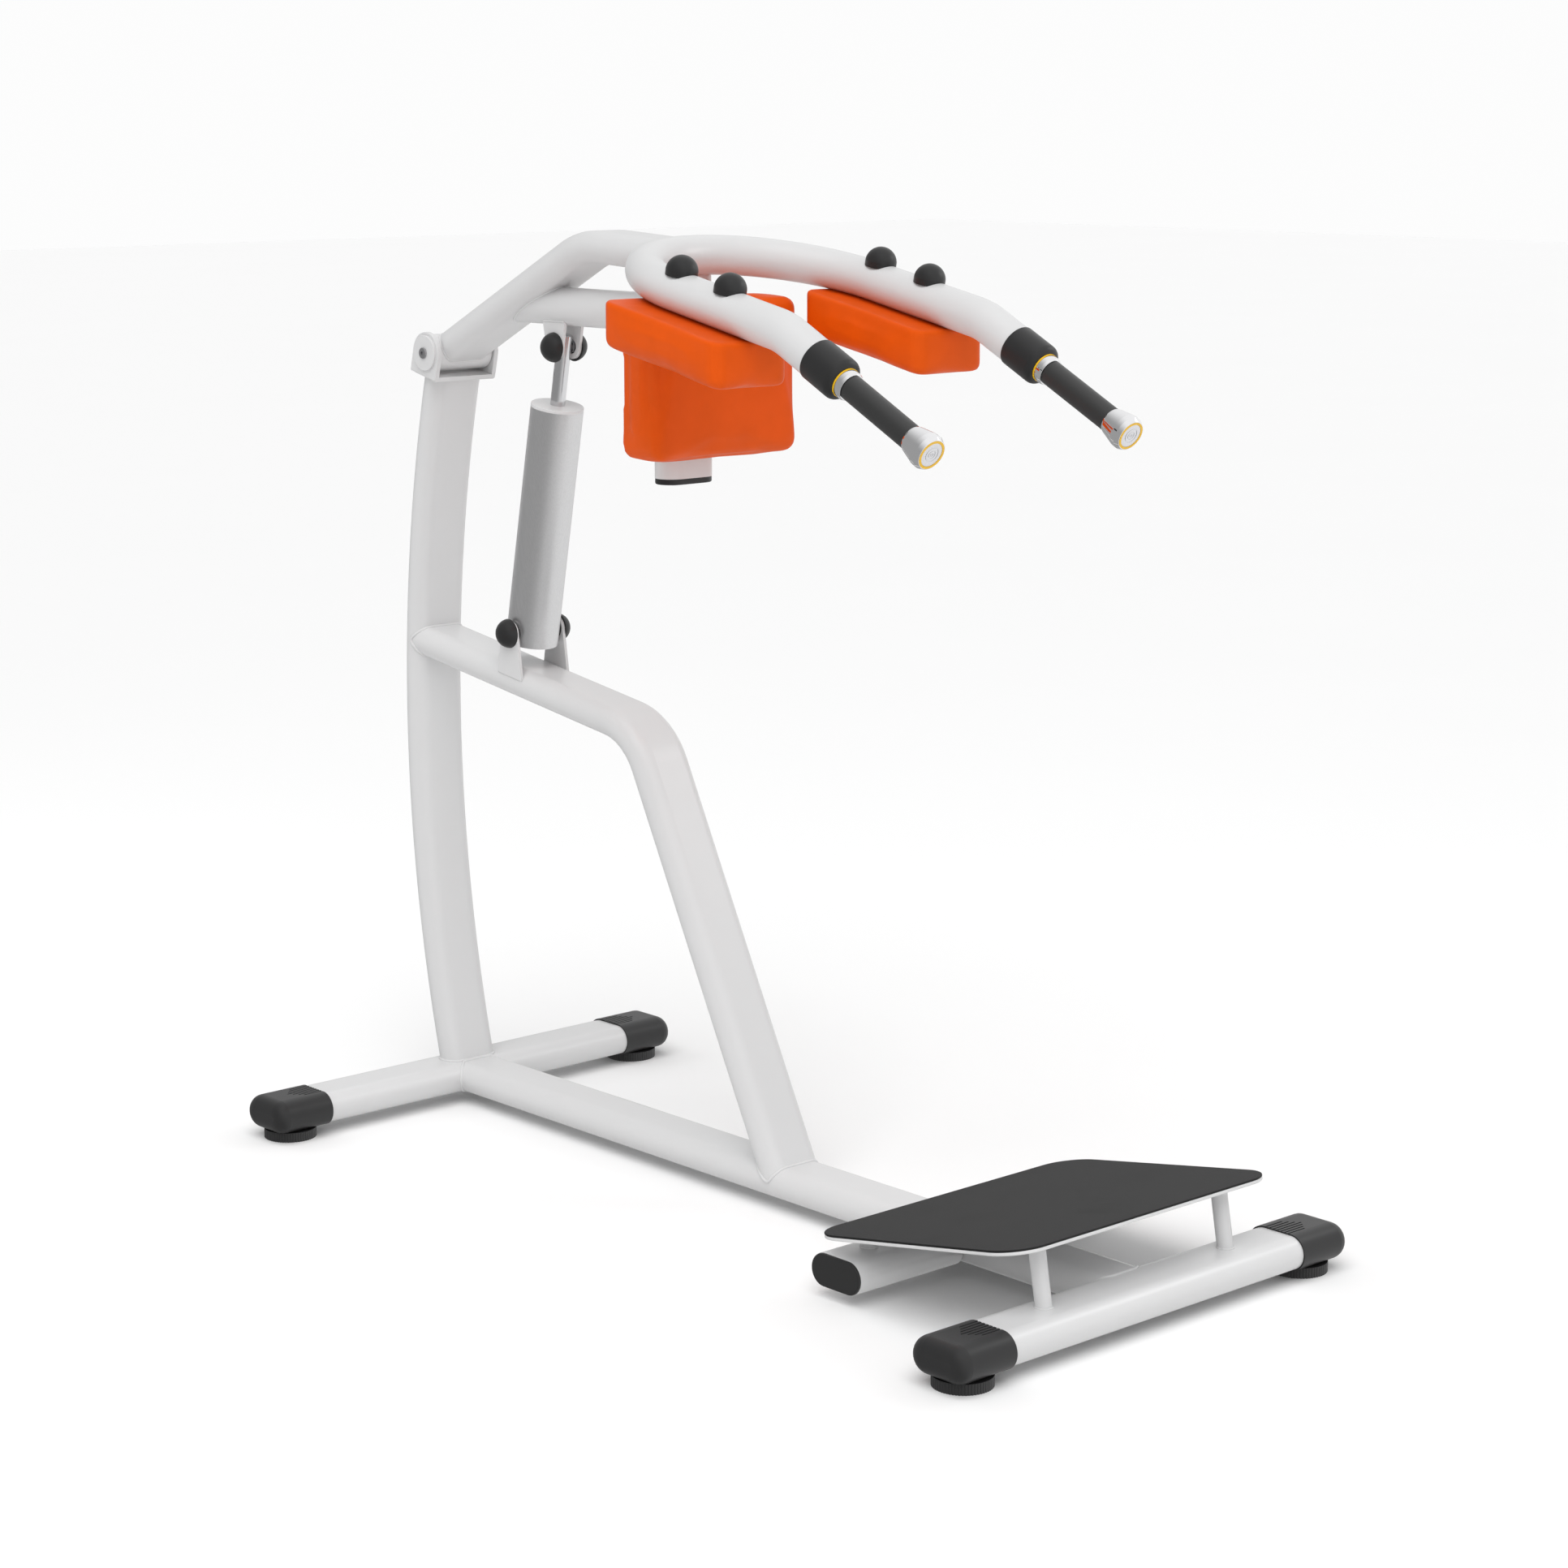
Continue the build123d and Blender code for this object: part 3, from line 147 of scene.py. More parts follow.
class SquatStudio(bpy.types.PropertyGroup):
    """Camera and light of the studio."""

    azimuth: FloatProperty(
        name="Azimuth", description="Camera's turn about the machine, 0 looks along +Y",
        subtype="ANGLE", default=radians(-42.16))
    elevation: FloatProperty(
        name="Elevation", description="Camera's height above the horizon", subtype="ANGLE",
        default=radians(11.19))
    distance: length_setting("Distance", "Camera to the point that it looks at", 5.2976)
    aim_height: length_setting("Aim height", "Height that the camera looks at", 0.6601)
    aim_forward: length_setting("Aim forward", "How far forward of the middle the camera looks", 0.0597)
    lens: FloatProperty(
        name="Lens", description="Focal length on a 36 mm sensor, in millimetres", default=80.47)
    surround: FloatProperty(
        name="Surround", description="Light that the surround gives from all sides", min=0, default=0.49)
    backdrop: FloatProperty(
        name="Backdrop", description="Brightness of the surround as the camera sees it", min=0,
        default=0.978)
    reflected_dark: FloatProperty(
        name="Dark side", description="Surround that polished parts reflect from the rear left", min=0,
        default=0.38)
    reflected_light: FloatProperty(
        name="Light side", description="Surround that polished parts reflect from the front right",
        min=0, default=1.05)
    sunlight: FloatProperty(
        name="Overhead light", description="Strength of the large soft light overhead", min=0, default=1.8)
    sun_width: FloatProperty(
        name="Overhead width", description="Angle that the overhead light fills", subtype="ANGLE",
        default=radians(55))
    floor_size: length_setting("Floor", "Side of the floor", 60.0)


def settings(group):
    """One of the scene's setting groups."""
    return getattr(bpy.context.scene, group)


# ---------------------------------------------------------------- reading the frame
def mesh_points(mesh):
    """Vertices of a mesh as an array."""
    points = np.zeros(len(mesh.vertices) * 3, np.float32)
    mesh.vertices.foreach_get("co", points)
    return points.reshape(-1, 3).astype(float)


def mesh_edges(mesh):
    """Edges of a mesh as an array of pairs of vertex numbers."""
    edges = np.zeros(len(mesh.edges) * 2, np.int32)
    mesh.edges.foreach_get("vertices", edges)
    return edges.reshape(-1, 2)


def node_points(node, side=None):
    """Vertices of a CAD node as an array, or only those on one side of the middle."""
    points = mesh_points(frame["nodes"][node].data)
    return points if side is None else points[points[:, 0] * side > 0]


def axes_of_slope(slope):
    """Rows are local x across the machine, y forward down a slope in radians, z up from the slope."""
    return np.array([[1, 0, 0], [0, -cos(slope), -sin(slope)], [0, -sin(slope), cos(slope)]])


def slope_of(node, side=None, steepest=45.0, steps=1801):
    """Angle at which a box across the machine fits a node most tightly, in radians."""
    points = node_points(node, side)
    slopes = np.radians(np.linspace(-steepest, steepest, steps))
    along = points[:, 1:] @ np.stack([-np.cos(slopes), -np.sin(slopes)])
    above = points[:, 1:] @ np.stack([-np.sin(slopes), np.cos(slopes)])
    return slopes[np.argmin(np.ptp(along, axis=0) * np.ptp(above, axis=0))]


class Block:
    """A node's box in axes of its own: the rows of axes are the local x, y and z, square to each other or
    not, and low and high are the box's corners in them."""

    def __init__(self, node, axes, side=None):
        self.axes = np.array(axes, float)
        local = self.read(node_points(node, side))
        self.low, self.high = local.min(0), local.max(0)

    def read(self, points):
        """Local points of points of the machine."""
        return np.asarray(points) @ np.linalg.inv(self.axes)

    def place(self, local):
        """Points of the machine of local points."""
        return np.asarray(local) @ self.axes

    @property
    def middle(self):
        """Middle of the box, in local axes."""
        return (self.low + self.high) / 2

    @property
    def size(self):
        """Sides of the box, in local axes."""
        return self.high - self.low


# ---------------------------------------------------------------- making meshes
def add_object(name, points, faces, sharp=None, double=1e-6, tiny=1e-7):
    """Mesh object from points and faces, with doubles merged and faces turned outwards."""
    mesh = bpy.data.meshes.new(name)
    mesh.from_pydata(np.asarray(points, float).reshape(-1, 3).tolist(), [], np.asarray(faces).tolist())
    work = bmesh.new()
    work.from_mesh(mesh)
    bmesh.ops.remove_doubles(work, verts=work.verts, dist=double)
    bmesh.ops.dissolve_degenerate(work, edges=work.edges, dist=tiny)
    bmesh.ops.recalc_face_normals(work, faces=work.faces)
    work.to_mesh(mesh)
    work.free()
    mesh.shade_smooth()
    if sharp is not None:
        mesh.set_sharp_from_angle(angle=radians(sharp))
    piece = bpy.data.objects.new(name, mesh)
    bpy.context.scene.collection.objects.link(piece)
    return piece


def grid_faces(rows, columns, wrap_rows=False, wrap_columns=True, first=0):
    """Quads that join neighbouring points of a grid, counted row by row from the point first."""
    row, column = np.meshgrid(np.arange(rows - (not wrap_rows)), np.arange(columns - (not wrap_columns)),
                              indexing="ij")
    next_row, next_column = (row + 1) % rows, (column + 1) % columns
    corners = [row * columns + column, row * columns + next_column,
               next_row * columns + next_column, next_row * columns + column]
    return first + np.stack([corner.ravel() for corner in corners], axis=1)


def add_grids(name, grids, wrap_rows=False, sharp=None):
    """One object from several grids of points, each (rows, columns, 3) and closed round its columns."""
    faces, first = [], 0
    for grid in grids:
        faces.append(grid_faces(*grid.shape[:2], wrap_rows=wrap_rows, first=first))
        first += grid.shape[0] * grid.shape[1]
    points = np.concatenate([grid.reshape(-1, 3) for grid in grids])
    return add_object(name, points, np.concatenate(faces), sharp)


def rounded_outline(corners, steps=7):
    """Outline of (u, v, radius) corners: each corner is an arc tangent to its two sides, and stays sharp
    where its radius is 0. The arc is the quadratic curve through the two tangent points and the corner."""
    corners = np.array(corners, float)
    before, after = np.roll(corners, 1, 0)[:, :2], np.roll(corners, -1, 0)[:, :2]
    here, radius = corners[:, :2], corners[:, 2:]
    to_before = (before - here) / np.linalg.norm(before - here, axis=1, keepdims=True)
    to_after = (after - here) / np.linalg.norm(after - here, axis=1, keepdims=True)
    half = np.arccos(np.clip((to_before * to_after).sum(1), -1, 1)) / 2
    reach = radius / np.tan(half)[:, None]
    start, end = here + to_before * reach, here + to_after * reach
    t = np.linspace(0, 1, steps)[None, :, None]
    weight = np.sin(half)[:, None, None]
    top = (1 - t) ** 2 * start[:, None] + 2 * t * (1 - t) * weight * here[:, None] + t ** 2 * end[:, None]
    arcs = top / ((1 - t) ** 2 + 2 * t * (1 - t) * weight + t ** 2)
    return arcs.reshape(-1, 2)


def turned_grid(origin, axis, outline, steps):
    """Grid of a turned piece: each outline point (distance along the axis, radius) runs round the axis."""
    axis = np.array(axis, float) / np.linalg.norm(axis)
    side = np.array([1.0, 0.0, 0.0])
    other = np.cross(axis, side)
    angle = np.linspace(0, 2 * np.pi, steps, endpoint=False)
    ray = np.cos(angle)[:, None] * side + np.sin(angle)[:, None] * other
    along, radius = outline[:, 0], outline[:, 1]
    return np.array(origin) + along[:, None, None] * axis + radius[:, None, None] * ray[None]


# ---------------------------------------------------------------- shared effects
def new_group(name, values):
    """Empty node group with a number input for each value, and outputs Height and Mask."""
    tree = bpy.data.node_groups.new(name, "ShaderNodeTree")
    for label, default in values.items():
        socket = tree.interface.new_socket(label, in_out="INPUT", socket_type="NodeSocketFloat")
        socket.default_value = default
    for label in ("Height", "Mask"):
        tree.interface.new_socket(label, in_out="OUTPUT", socket_type="NodeSocketFloat")
    return tree, tree.nodes.new("NodeGroupInput"), tree.nodes.new("NodeGroupOutput")


def add_node(tree, kind, inputs=None, **options):
    """Node with its options set; an input is a number or the socket that feeds it."""
    node = tree.nodes.new(kind)
    for label, value in options.items():
        setattr(node, label, value)
    for label, value in (inputs or {}).items():
        if isinstance(value, bpy.types.NodeSocket):
            tree.links.new(value, node.inputs[label])
        else:
            node.inputs[label].default_value = value
    return node


def object_place(tree):
    """Socket with the place of a point on the piece, in metres."""
    return add_node(tree, "ShaderNodeTexCoord").outputs["Object"]


def ripple_group():
    """Orange peel of a sprayed coat: soft fine bumps, and slow clouds in the mask."""
    tree, given, out = new_group("coat_ripple", {"Scale": 300.0, "Cloud scale": 4.0})
    place = object_place(tree)
    fine = add_node(tree, "ShaderNodeTexNoise",
                    {"Vector": place, "Scale": given.outputs["Scale"], "Detail": 2.0, "Roughness": 0.45})
    cloud = add_node(tree, "ShaderNodeTexNoise",
                     {"Vector": place, "Scale": given.outputs["Cloud scale"], "Detail": 3.0})
    tree.links.new(fine.outputs["Fac"], out.inputs["Height"])
    tree.links.new(cloud.outputs["Fac"], out.inputs["Mask"])
    return tree


def grain_group():
    """Pebbled grain of coated cloth: rounded cells with creases between them."""
    tree, given, out = new_group("pebbled_grain", {"Scale": 600.0, "Stretch": 25.0})
    place = object_place(tree)
    bend = add_node(tree, "ShaderNodeTexNoise", {"Vector": place, "Scale": 90.0, "Detail": 2.0})
    moved = add_node(tree, "ShaderNodeVectorMath", {0: bend.outputs["Color"], "Scale": 0.004},
                     operation="SCALE")
    bent = add_node(tree, "ShaderNodeVectorMath", {0: place, 1: moved.outputs[0]}, operation="ADD")
    cells = add_node(tree, "ShaderNodeTexVoronoi",
                     {"Vector": bent.outputs[0], "Scale": given.outputs["Scale"]}, feature="DISTANCE_TO_EDGE")
    crease = add_node(tree, "ShaderNodeMapRange",
                      {"Value": cells.outputs["Distance"], "From Min": 0.0, "From Max": 0.22},
                      interpolation_type="SMOOTHSTEP")
    broad = add_node(tree, "ShaderNodeTexNoise",
                     {"Vector": place, "Scale": given.outputs["Stretch"], "Detail": 3.0})
    height = add_node(tree, "ShaderNodeMath", {0: crease.outputs[0], 1: broad.outputs["Fac"]},
                      operation="ADD")
    tree.links.new(height.outputs[0], out.inputs["Height"])
    tree.links.new(broad.outputs["Fac"], out.inputs["Mask"])
    return tree


def moulded_group():
    """Spark-eroded texture of moulded plastic and rubber: fine sharp speckle under slow clouds."""
    tree, given, out = new_group("moulded_texture", {"Scale": 1400.0, "Cloud scale": 18.0})
    place = object_place(tree)
    speckle = add_node(tree, "ShaderNodeTexNoise",
                       {"Vector": place, "Scale": given.outputs["Scale"], "Detail": 3.0, "Roughness": 0.7})
    cloud = add_node(tree, "ShaderNodeTexNoise",
                     {"Vector": place, "Scale": given.outputs["Cloud scale"], "Detail": 4.0})
    blend = add_node(tree, "ShaderNodeMath", {0: speckle.outputs["Fac"], 1: cloud.outputs["Fac"]},
                     operation="MULTIPLY")
    tree.links.new(speckle.outputs["Fac"], out.inputs["Height"])
    tree.links.new(blend.outputs[0], out.inputs["Mask"])
    return tree


def brushed_group():
    """Brushing lines: noise drawn out along the tilted upright axis of the piece."""
    tree, given, out = new_group("brushed_lines", {"Across": 900.0, "Along": 14.0, "Tilt": 0.0})
    tilt = add_node(tree, "ShaderNodeCombineXYZ", {"X": given.outputs["Tilt"]})
    level = add_node(tree, "ShaderNodeVectorRotate",
                     {"Vector": object_place(tree), "Rotation": tilt.outputs[0]}, rotation_type="EULER_XYZ")
    across, along = given.outputs["Across"], given.outputs["Along"]
    scale = add_node(tree, "ShaderNodeCombineXYZ", {"X": across, "Y": across, "Z": along})
    drawn = add_node(tree, "ShaderNodeVectorMath", {0: level.outputs[0], 1: scale.outputs[0]},
                     operation="MULTIPLY")
    lines = add_node(tree, "ShaderNodeTexNoise",
                     {"Vector": drawn.outputs[0], "Scale": 1.0, "Detail": 4.0, "Roughness": 0.6})
    tree.links.new(lines.outputs["Fac"], out.inputs["Height"])
    tree.links.new(lines.outputs["Fac"], out.inputs["Mask"])
    return tree


EFFECTS = {}


def effect(maker):
    """The shared node group of an effect, made once."""
    if maker not in EFFECTS:
        EFFECTS[maker] = maker()
    return EFFECTS[maker]


def finish(name, colour, shade, maker, values, roughness, bump, **constants):
    """Material whose effect group mixes colour with shade, moves the roughness between two values and
    raises the surface; every other socket is a constant on the shader itself."""
    material = bpy.data.materials.new(name)
    material.use_nodes = True
    tree = material.node_tree
    shader = tree.nodes["Principled BSDF"]
    group = add_node(tree, "ShaderNodeGroup", node_tree=effect(maker))
    for label, value in values.items():
        group.inputs[label].default_value = value
    mask = add_node(tree, "ShaderNodeMapRange",
                    {"Value": group.outputs["Mask"], "From Min": MASK_RANGE[0], "From Max": MASK_RANGE[1]})
    tint = add_node(tree, "ShaderNodeMix", {"Factor": mask.outputs[0]}, data_type="RGBA")
    tint.inputs[MIX_FIRST].default_value = (*colour, 1)
    tint.inputs[MIX_SECOND].default_value = (*(part * shade for part in colour), 1)
    tree.links.new(tint.outputs[MIX_RESULT], shader.inputs["Base Color"])
    rough = add_node(tree, "ShaderNodeMapRange",
                     {"Value": mask.outputs[0], "To Min": roughness[0], "To Max": roughness[1]})
    tree.links.new(rough.outputs[0], shader.inputs["Roughness"])
    strength, distance = bump
    relief = add_node(tree, "ShaderNodeBump",
                      {"Height": group.outputs["Height"], "Strength": strength, "Distance": distance})
    tree.links.new(relief.outputs[0], shader.inputs["Normal"])
    for label, value in constants.items():
        shader.inputs[label.replace("_", " ")].default_value = value
    return material


# ---------------------------------------------------------------- finishes
def powder_coat():
    return finish(
        "white_powder_coat", settings("squat_colours").frame_white, shade=0.992, maker=ripple_group,
        values={"Scale": 260.0, "Cloud scale": 24.0},
        roughness=(0.30, 0.33), bump=(0.05, 0.0004), Coat_Weight=0.3, Coat_Roughness=0.18)


def gland_paint():
    return finish(
        "white_gland", settings("squat_colours").frame_white, shade=0.97, maker=ripple_group,
        values={"Scale": 500.0, "Cloud scale": 20.0},
        roughness=(0.35, 0.45), bump=(0.06, 0.0003))


def satin_moulding():
    return finish(
        "black_moulding", settings("squat_colours").moulding_black, shade=1.25, maker=moulded_group,
        values={"Scale": 1500.0, "Cloud scale": 14.0},
        roughness=(0.38, 0.48), bump=(0.16, 0.0002), Specular_IOR_Level=0.34)


def foot_moulding():
    return finish(
        "foot_moulding", settings("squat_colours").moulding_black, shade=1.3, maker=moulded_group,
        values={"Scale": 900.0, "Cloud scale": 20.0},
        roughness=(0.5, 0.62), bump=(0.2, 0.0003))


def bush_moulding():
    return finish(
        "bush_moulding", (0.08, 0.08, 0.08), shade=0.85, maker=moulded_group,
        values={"Scale": 1200.0, "Cloud scale": 30.0},
        roughness=(0.4, 0.5), bump=(0.1, 0.0002))


def seal_rubber():
    return finish(
        "seal_rubber", (0.03, 0.03, 0.03), shade=1.2, maker=moulded_group,
        values={"Scale": 1800.0, "Cloud scale": 40.0},
        roughness=(0.5, 0.6), bump=(0.1, 0.0002))


def mat_sheet():
    return finish(
        "mat_sheet", settings("squat_colours").mat_black, shade=1.45, maker=moulded_group,
        values={"Scale": 620.0, "Cloud scale": 9.0},
        roughness=(0.62, 0.8), bump=(0.5, 0.0006), Specular_IOR_Level=0.22)


def grip_sleeve():
    return finish(
        "grip_sleeve", settings("squat_colours").grip_grey, shade=1.2, maker=moulded_group,
        values={"Scale": 1700.0, "Cloud scale": 25.0},
        roughness=(0.42, 0.54), bump=(0.22, 0.0003))


def coated_cloth():
    return finish(
        "orange_cloth", settings("squat_colours").upholstery, shade=0.93, maker=grain_group,
        values={"Scale": 620.0, "Stretch": 22.0},
        roughness=(0.40, 0.48), bump=(0.10, 0.0003), Specular_IOR_Level=0.14)


def plywood_board():
    return finish(
        "plywood_board", (0.50, 0.36, 0.22), shade=0.72, maker=brushed_group,
        values={"Across": 300.0, "Along": 10.0},
        roughness=(0.5, 0.65), bump=(0.2, 0.0004))


def accent_plastic():
    return finish(
        "accent_ring", settings("squat_colours").accent_yellow, shade=0.92, maker=moulded_group,
        values={"Scale": 900.0, "Cloud scale": 30.0},
        roughness=(0.25, 0.32), bump=(0.05, 0.0002), Coat_Weight=0.3)


def chrome_plate():
    return finish(
        "chrome_plate", (0.82, 0.82, 0.83), shade=0.97, maker=ripple_group,
        values={"Scale": 90.0, "Cloud scale": 15.0},
        roughness=(0.05, 0.09), bump=(0.02, 0.0002), Metallic=1.0)


def turned_face():
    return finish(
        "turned_face", (0.78, 0.78, 0.80), shade=0.88, maker=brushed_group,
        values={"Across": 700.0, "Along": 700.0},
        roughness=(0.18, 0.28), bump=(0.08, 0.0002), Metallic=1.0)


def floor_paint():
    return finish(
        "studio_floor", (0.97, 0.97, 0.97), shade=0.995, maker=ripple_group,
        values={"Scale": 60.0, "Cloud scale": 1.0},
        roughness=(0.7, 0.8), bump=(0.02, 0.0005), Specular_IOR_Level=0.2)


def ground_rod():
    return finish(
        "ground_rod", (0.66, 0.66, 0.67), shade=0.93, maker=brushed_group,
        values={"Across": 1200.0, "Along": 20.0, "Tilt": -cylinder_tilt()},
        roughness=(0.12, 0.2), bump=(0.05, 0.0002), Metallic=1.0)


def brushed_barrel():
    return finish(
        "brushed_barrel", (0.66, 0.66, 0.665), shade=0.90, maker=brushed_group,
        values={"Across": 850.0, "Along": 12.0, "Tilt": -cylinder_tilt()},
        roughness=(0.30, 0.40), bump=(0.22, 0.0004), Metallic=0.9)


def zinc_plate():
    return finish(
        "zinc_plate", (0.46, 0.46, 0.47), shade=0.85, maker=moulded_group,
        values={"Scale": 700.0, "Cloud scale": 60.0},
        roughness=(0.32, 0.46), bump=(0.15, 0.0003), Metallic=1.0)


def bright_steel():
    return finish(
        "bright_steel", (0.42, 0.42, 0.43), shade=0.88, maker=brushed_group,
        values={"Across": 500.0, "Along": 60.0},
        roughness=(0.26, 0.38), bump=(0.12, 0.0003), Metallic=1.0)


FINISHES = {
    "white_powder_coat": powder_coat, "black_plastic": satin_moulding, "mat_rubber": mat_sheet,
    "zinc_steel": zinc_plate, "bare_steel": bright_steel, "bush_plastic": bush_moulding,
    "orange_upholstery": coated_cloth, "plywood": plywood_board, "yellow_plastic": accent_plastic,
    "chrome_trim": chrome_plate, "grip_rubber": grip_sleeve, "turned_aluminium": turned_face,
    "brushed_barrel": brushed_barrel, "white_gland": gland_paint, "polished_rod": ground_rod,
    "seal_rubber": seal_rubber, "foot_plastic": foot_moulding,
}
MADE = {}


def material_of(slot):
    """The material of one of the record's slots, made once."""
    if slot not in MADE:
        MADE[slot] = FINISHES[slot]()
    return MADE[slot]


def cylinder_tilt():
    """Angle between the damping cylinder's rod and the upright, in radians."""
    slide = next(joint for joint in frame["joints"] if joint["name"] == "rod_slide")
    return float(np.arctan2(slide["axis"][1], slide["axis"][2]))


def dress(piece, body, slot, *nodes):
    """Give a finished piece its body, its material and the CAD nodes that it stands for."""
    piece.data.materials.clear()
    piece.data.materials.append(material_of(slot))
    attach(piece, body)
    if nodes:
        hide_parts(*nodes)


# ---------------------------------------------------------------- upholstery
def rounded_rectangle(angle, half, corner, drawn_in):
    """Rounded rectangle as points (u, v): straight sides at half, less drawn_in, joined by quarter circles
    of the corner radius, which shrink with drawn_in. Each angle looks at the rectangle from its middle."""
    reach = np.stack([np.cos(angle), np.sin(angle)], axis=1)
    core = half - corner
    scale = 1 / np.max(np.abs(reach) / half, axis=1)
    flat = reach * scale[:, None]
    centre = np.clip(flat, -core, core)
    outward = flat - centre
    length = np.maximum(np.linalg.norm(outward, axis=1, keepdims=True), 1e-9)
    return centre + outward / length * (corner - drawn_in)


def pad_shell(box, pads, arc_rows=9, side_rows=16, face_rings=30, around=240, turn=0.01):
    """Closed shell of a pad before it fills, in the local axes of its box, with the board side on top.

    Each row is the rounded rectangle of the plan, drawn in by an inset, at a level; the rows run from the
    middle of the face round the face edge, up the side, round the board edge and to the middle of the
    board side. A cosine dome crowns the face, and the sides draw in between corners. The first point of a
    row is turned a little off the local x axis.
    """
    half = box.size[:2] / 2 - pads.start_inset
    floor, ceiling = box.low[2] + pads.start_inset, box.high[2]
    face, board = pads.face_edge, pads.board_edge
    quarter = np.linspace(0, np.pi / 2, arc_rows)
    side = np.linspace(0, 1, side_rows)[1:-1]
    inset = np.concatenate([face * (1 - np.sin(quarter)), 0 * side, board * (1 - np.cos(quarter))])
    level = np.concatenate([floor + face * (1 - np.cos(quarter)),
                            floor + face + side * (ceiling - board - floor - face),
                            ceiling - board * (1 - np.sin(quarter))])
    angle = np.linspace(0, 2 * np.pi, around, endpoint=False) + turn
    rows = []
    for drawn_in, height in zip(inset, level):
        ring = rounded_rectangle(angle, half, pads.plan_corner, drawn_in)
        belly = np.sin(np.pi * np.clip((height - floor) / (ceiling - floor), 0, 1))
        draw = np.cos(np.pi / 2 * np.clip(ring[:, ::-1] / half[::-1], -1, 1)) * belly * pads.side_pull
        ring = ring * (1 - draw / half * (np.abs(ring) > half - pads.plan_corner))
        rows.append(np.column_stack([ring, np.full(len(ring), height)]))
    rows = np.array(rows)
    share = np.linspace(0, 1, face_rings)[:-1, None, None]
    face_rows = rows[0] * np.array([1, 1, 0]) * share + np.array([0, 0, floor])
    board_rows = (rows[-1] * np.array([1, 1, 0]) * share + np.array([0, 0, ceiling]))[::-1]
    shell = np.concatenate([face_rows, rows, board_rows])
    dome = np.prod(np.cos(np.pi / 2 * np.clip(shell[..., :2] / half, -1, 1)), axis=-1)
    shell[..., 2] -= pads.crown * dome * np.clip(1 - (shell[..., 2] - floor) / face, 0, 1)
    shell[..., :2] += box.middle[:2]
    return shell


def apply_modifiers(piece):
    """Replace the piece's mesh with the one that its modifiers give."""
    graph = bpy.context.evaluated_depsgraph_get()
    made = bpy.data.meshes.new_from_object(piece.evaluated_get(graph))
    piece.modifiers.clear()
    old, piece.data = piece.data, made
    bpy.data.meshes.remove(old)


def spread(mesh, values, rounds):
    """Even out a value at each vertex: each round takes the mean of its own and its neighbours' mean."""
    edges = mesh_edges(mesh)
    one, other = edges.T
    count = np.maximum(np.bincount(edges.ravel(), minlength=len(values)), 1)[:, None]
    for _ in range(rounds):
        total = np.zeros_like(values)
        np.add.at(total, one, values[other])
        np.add.at(total, other, values[one])
        values = (values + total / count) / 2
    return values


def place_mesh(mesh, box):
    """Move a mesh from the local axes of its box to the machine's, with its faces outwards again where the
    axes mirror it."""
    mesh.vertices.foreach_set("co", box.place(mesh_points(mesh)).astype(np.float32).ravel())
    if np.linalg.det(box.axes) < 0:
        mesh.flip_normals()
    mesh.update()


def fill_pad(piece, box, pads):
    """Swell the cover with a cloth simulation, in the local axes of its box, so that the even mesh runs
    along the pad's edges. The swelling is evened out, kept within its limit, and left off the board side,
    which stays flat against the board."""
    remesh = piece.modifiers.new("even_mesh", "REMESH")
    remesh.mode, remesh.voxel_size = "VOXEL", pads.voxel
    apply_modifiers(piece)
    start = mesh_points(piece.data)
    cloth = piece.modifiers.new("filling", "CLOTH")
    cloth.settings.use_pressure = True
    cloth.settings.uniform_pressure_force = pads.pressure
    cloth.settings.effector_weights.gravity = 0
    cloth.settings.tension_stiffness = cloth.settings.compression_stiffness = pads.stiffness
    cloth.settings.bending_stiffness = pads.bending
    scene = bpy.context.scene
    cloth.point_cache.frame_start, cloth.point_cache.frame_end = 1, pads.frames
    for number in range(1, pads.frames + 1):
        scene.frame_set(number)
    apply_modifiers(piece)
    scene.frame_set(1)
    moved = spread(piece.data, mesh_points(piece.data) - start, pads.evening)
    length = np.maximum(np.linalg.norm(moved, axis=1, keepdims=True), 1e-9)
    moved *= np.minimum(length, pads.swell_limit) / length
    filled = start + moved
    on_board = start[:, 2] > box.high[2] - pads.board_edge / 2
    filled[:, 2] = np.where(on_board, box.high[2], np.minimum(filled[:, 2], box.high[2]))
    piece.data.vertices.foreach_set("co", filled.astype(np.float32).ravel())
    piece.data.update()
    smooth = piece.modifiers.new("even_cover", "SUBSURF")
    smooth.levels = smooth.render_levels = 1
    apply_modifiers(piece)
    piece.data.shade_smooth()


def add_pad(name, node, axes):
    """Upholstered pad in the place of its plain CAD solid; local z points to its board."""
    pads = settings("squat_pads")
    box = Block(node, axes)
    box.high[2] += COVER_GAP
    piece = add_grids(name, [pad_shell(box, pads)])
    fill_pad(piece, box, pads)
    place_mesh(piece.data, box)
    dress(piece, "lever_arm", "orange_upholstery", node)


class SQUAT_OT_shoulder_pads(bpy.types.Operator):
    """Make the two shoulder pads: firm crowned blocks with upright ends under the sloping yoke"""

    bl_idname = "squat.shoulder_pads"
    bl_label = "Shoulder pads"

    def execute(self, context):
        axes = axes_of_slope(slope_of("shoulder_pad_boards"))
        axes[2] = (0, 0, 1)
        for name in ("left", "right"):
            add_pad(f"shoulder_cushion_{name}", f"shoulder_pad_{name}", axes)
        return {"FINISHED"}


class SQUAT_OT_back_pad(bpy.types.Operator):
    """Make the back pad: an upright crowned block on its board"""

    bl_idname = "squat.back_pad"
    bl_label = "Back pad"

    def execute(self, context):
        add_pad("back_cushion", "back_pad", [(1, 0, 0), (0, 0, 1), (0, 1, 0)])
        return {"FINISHED"}


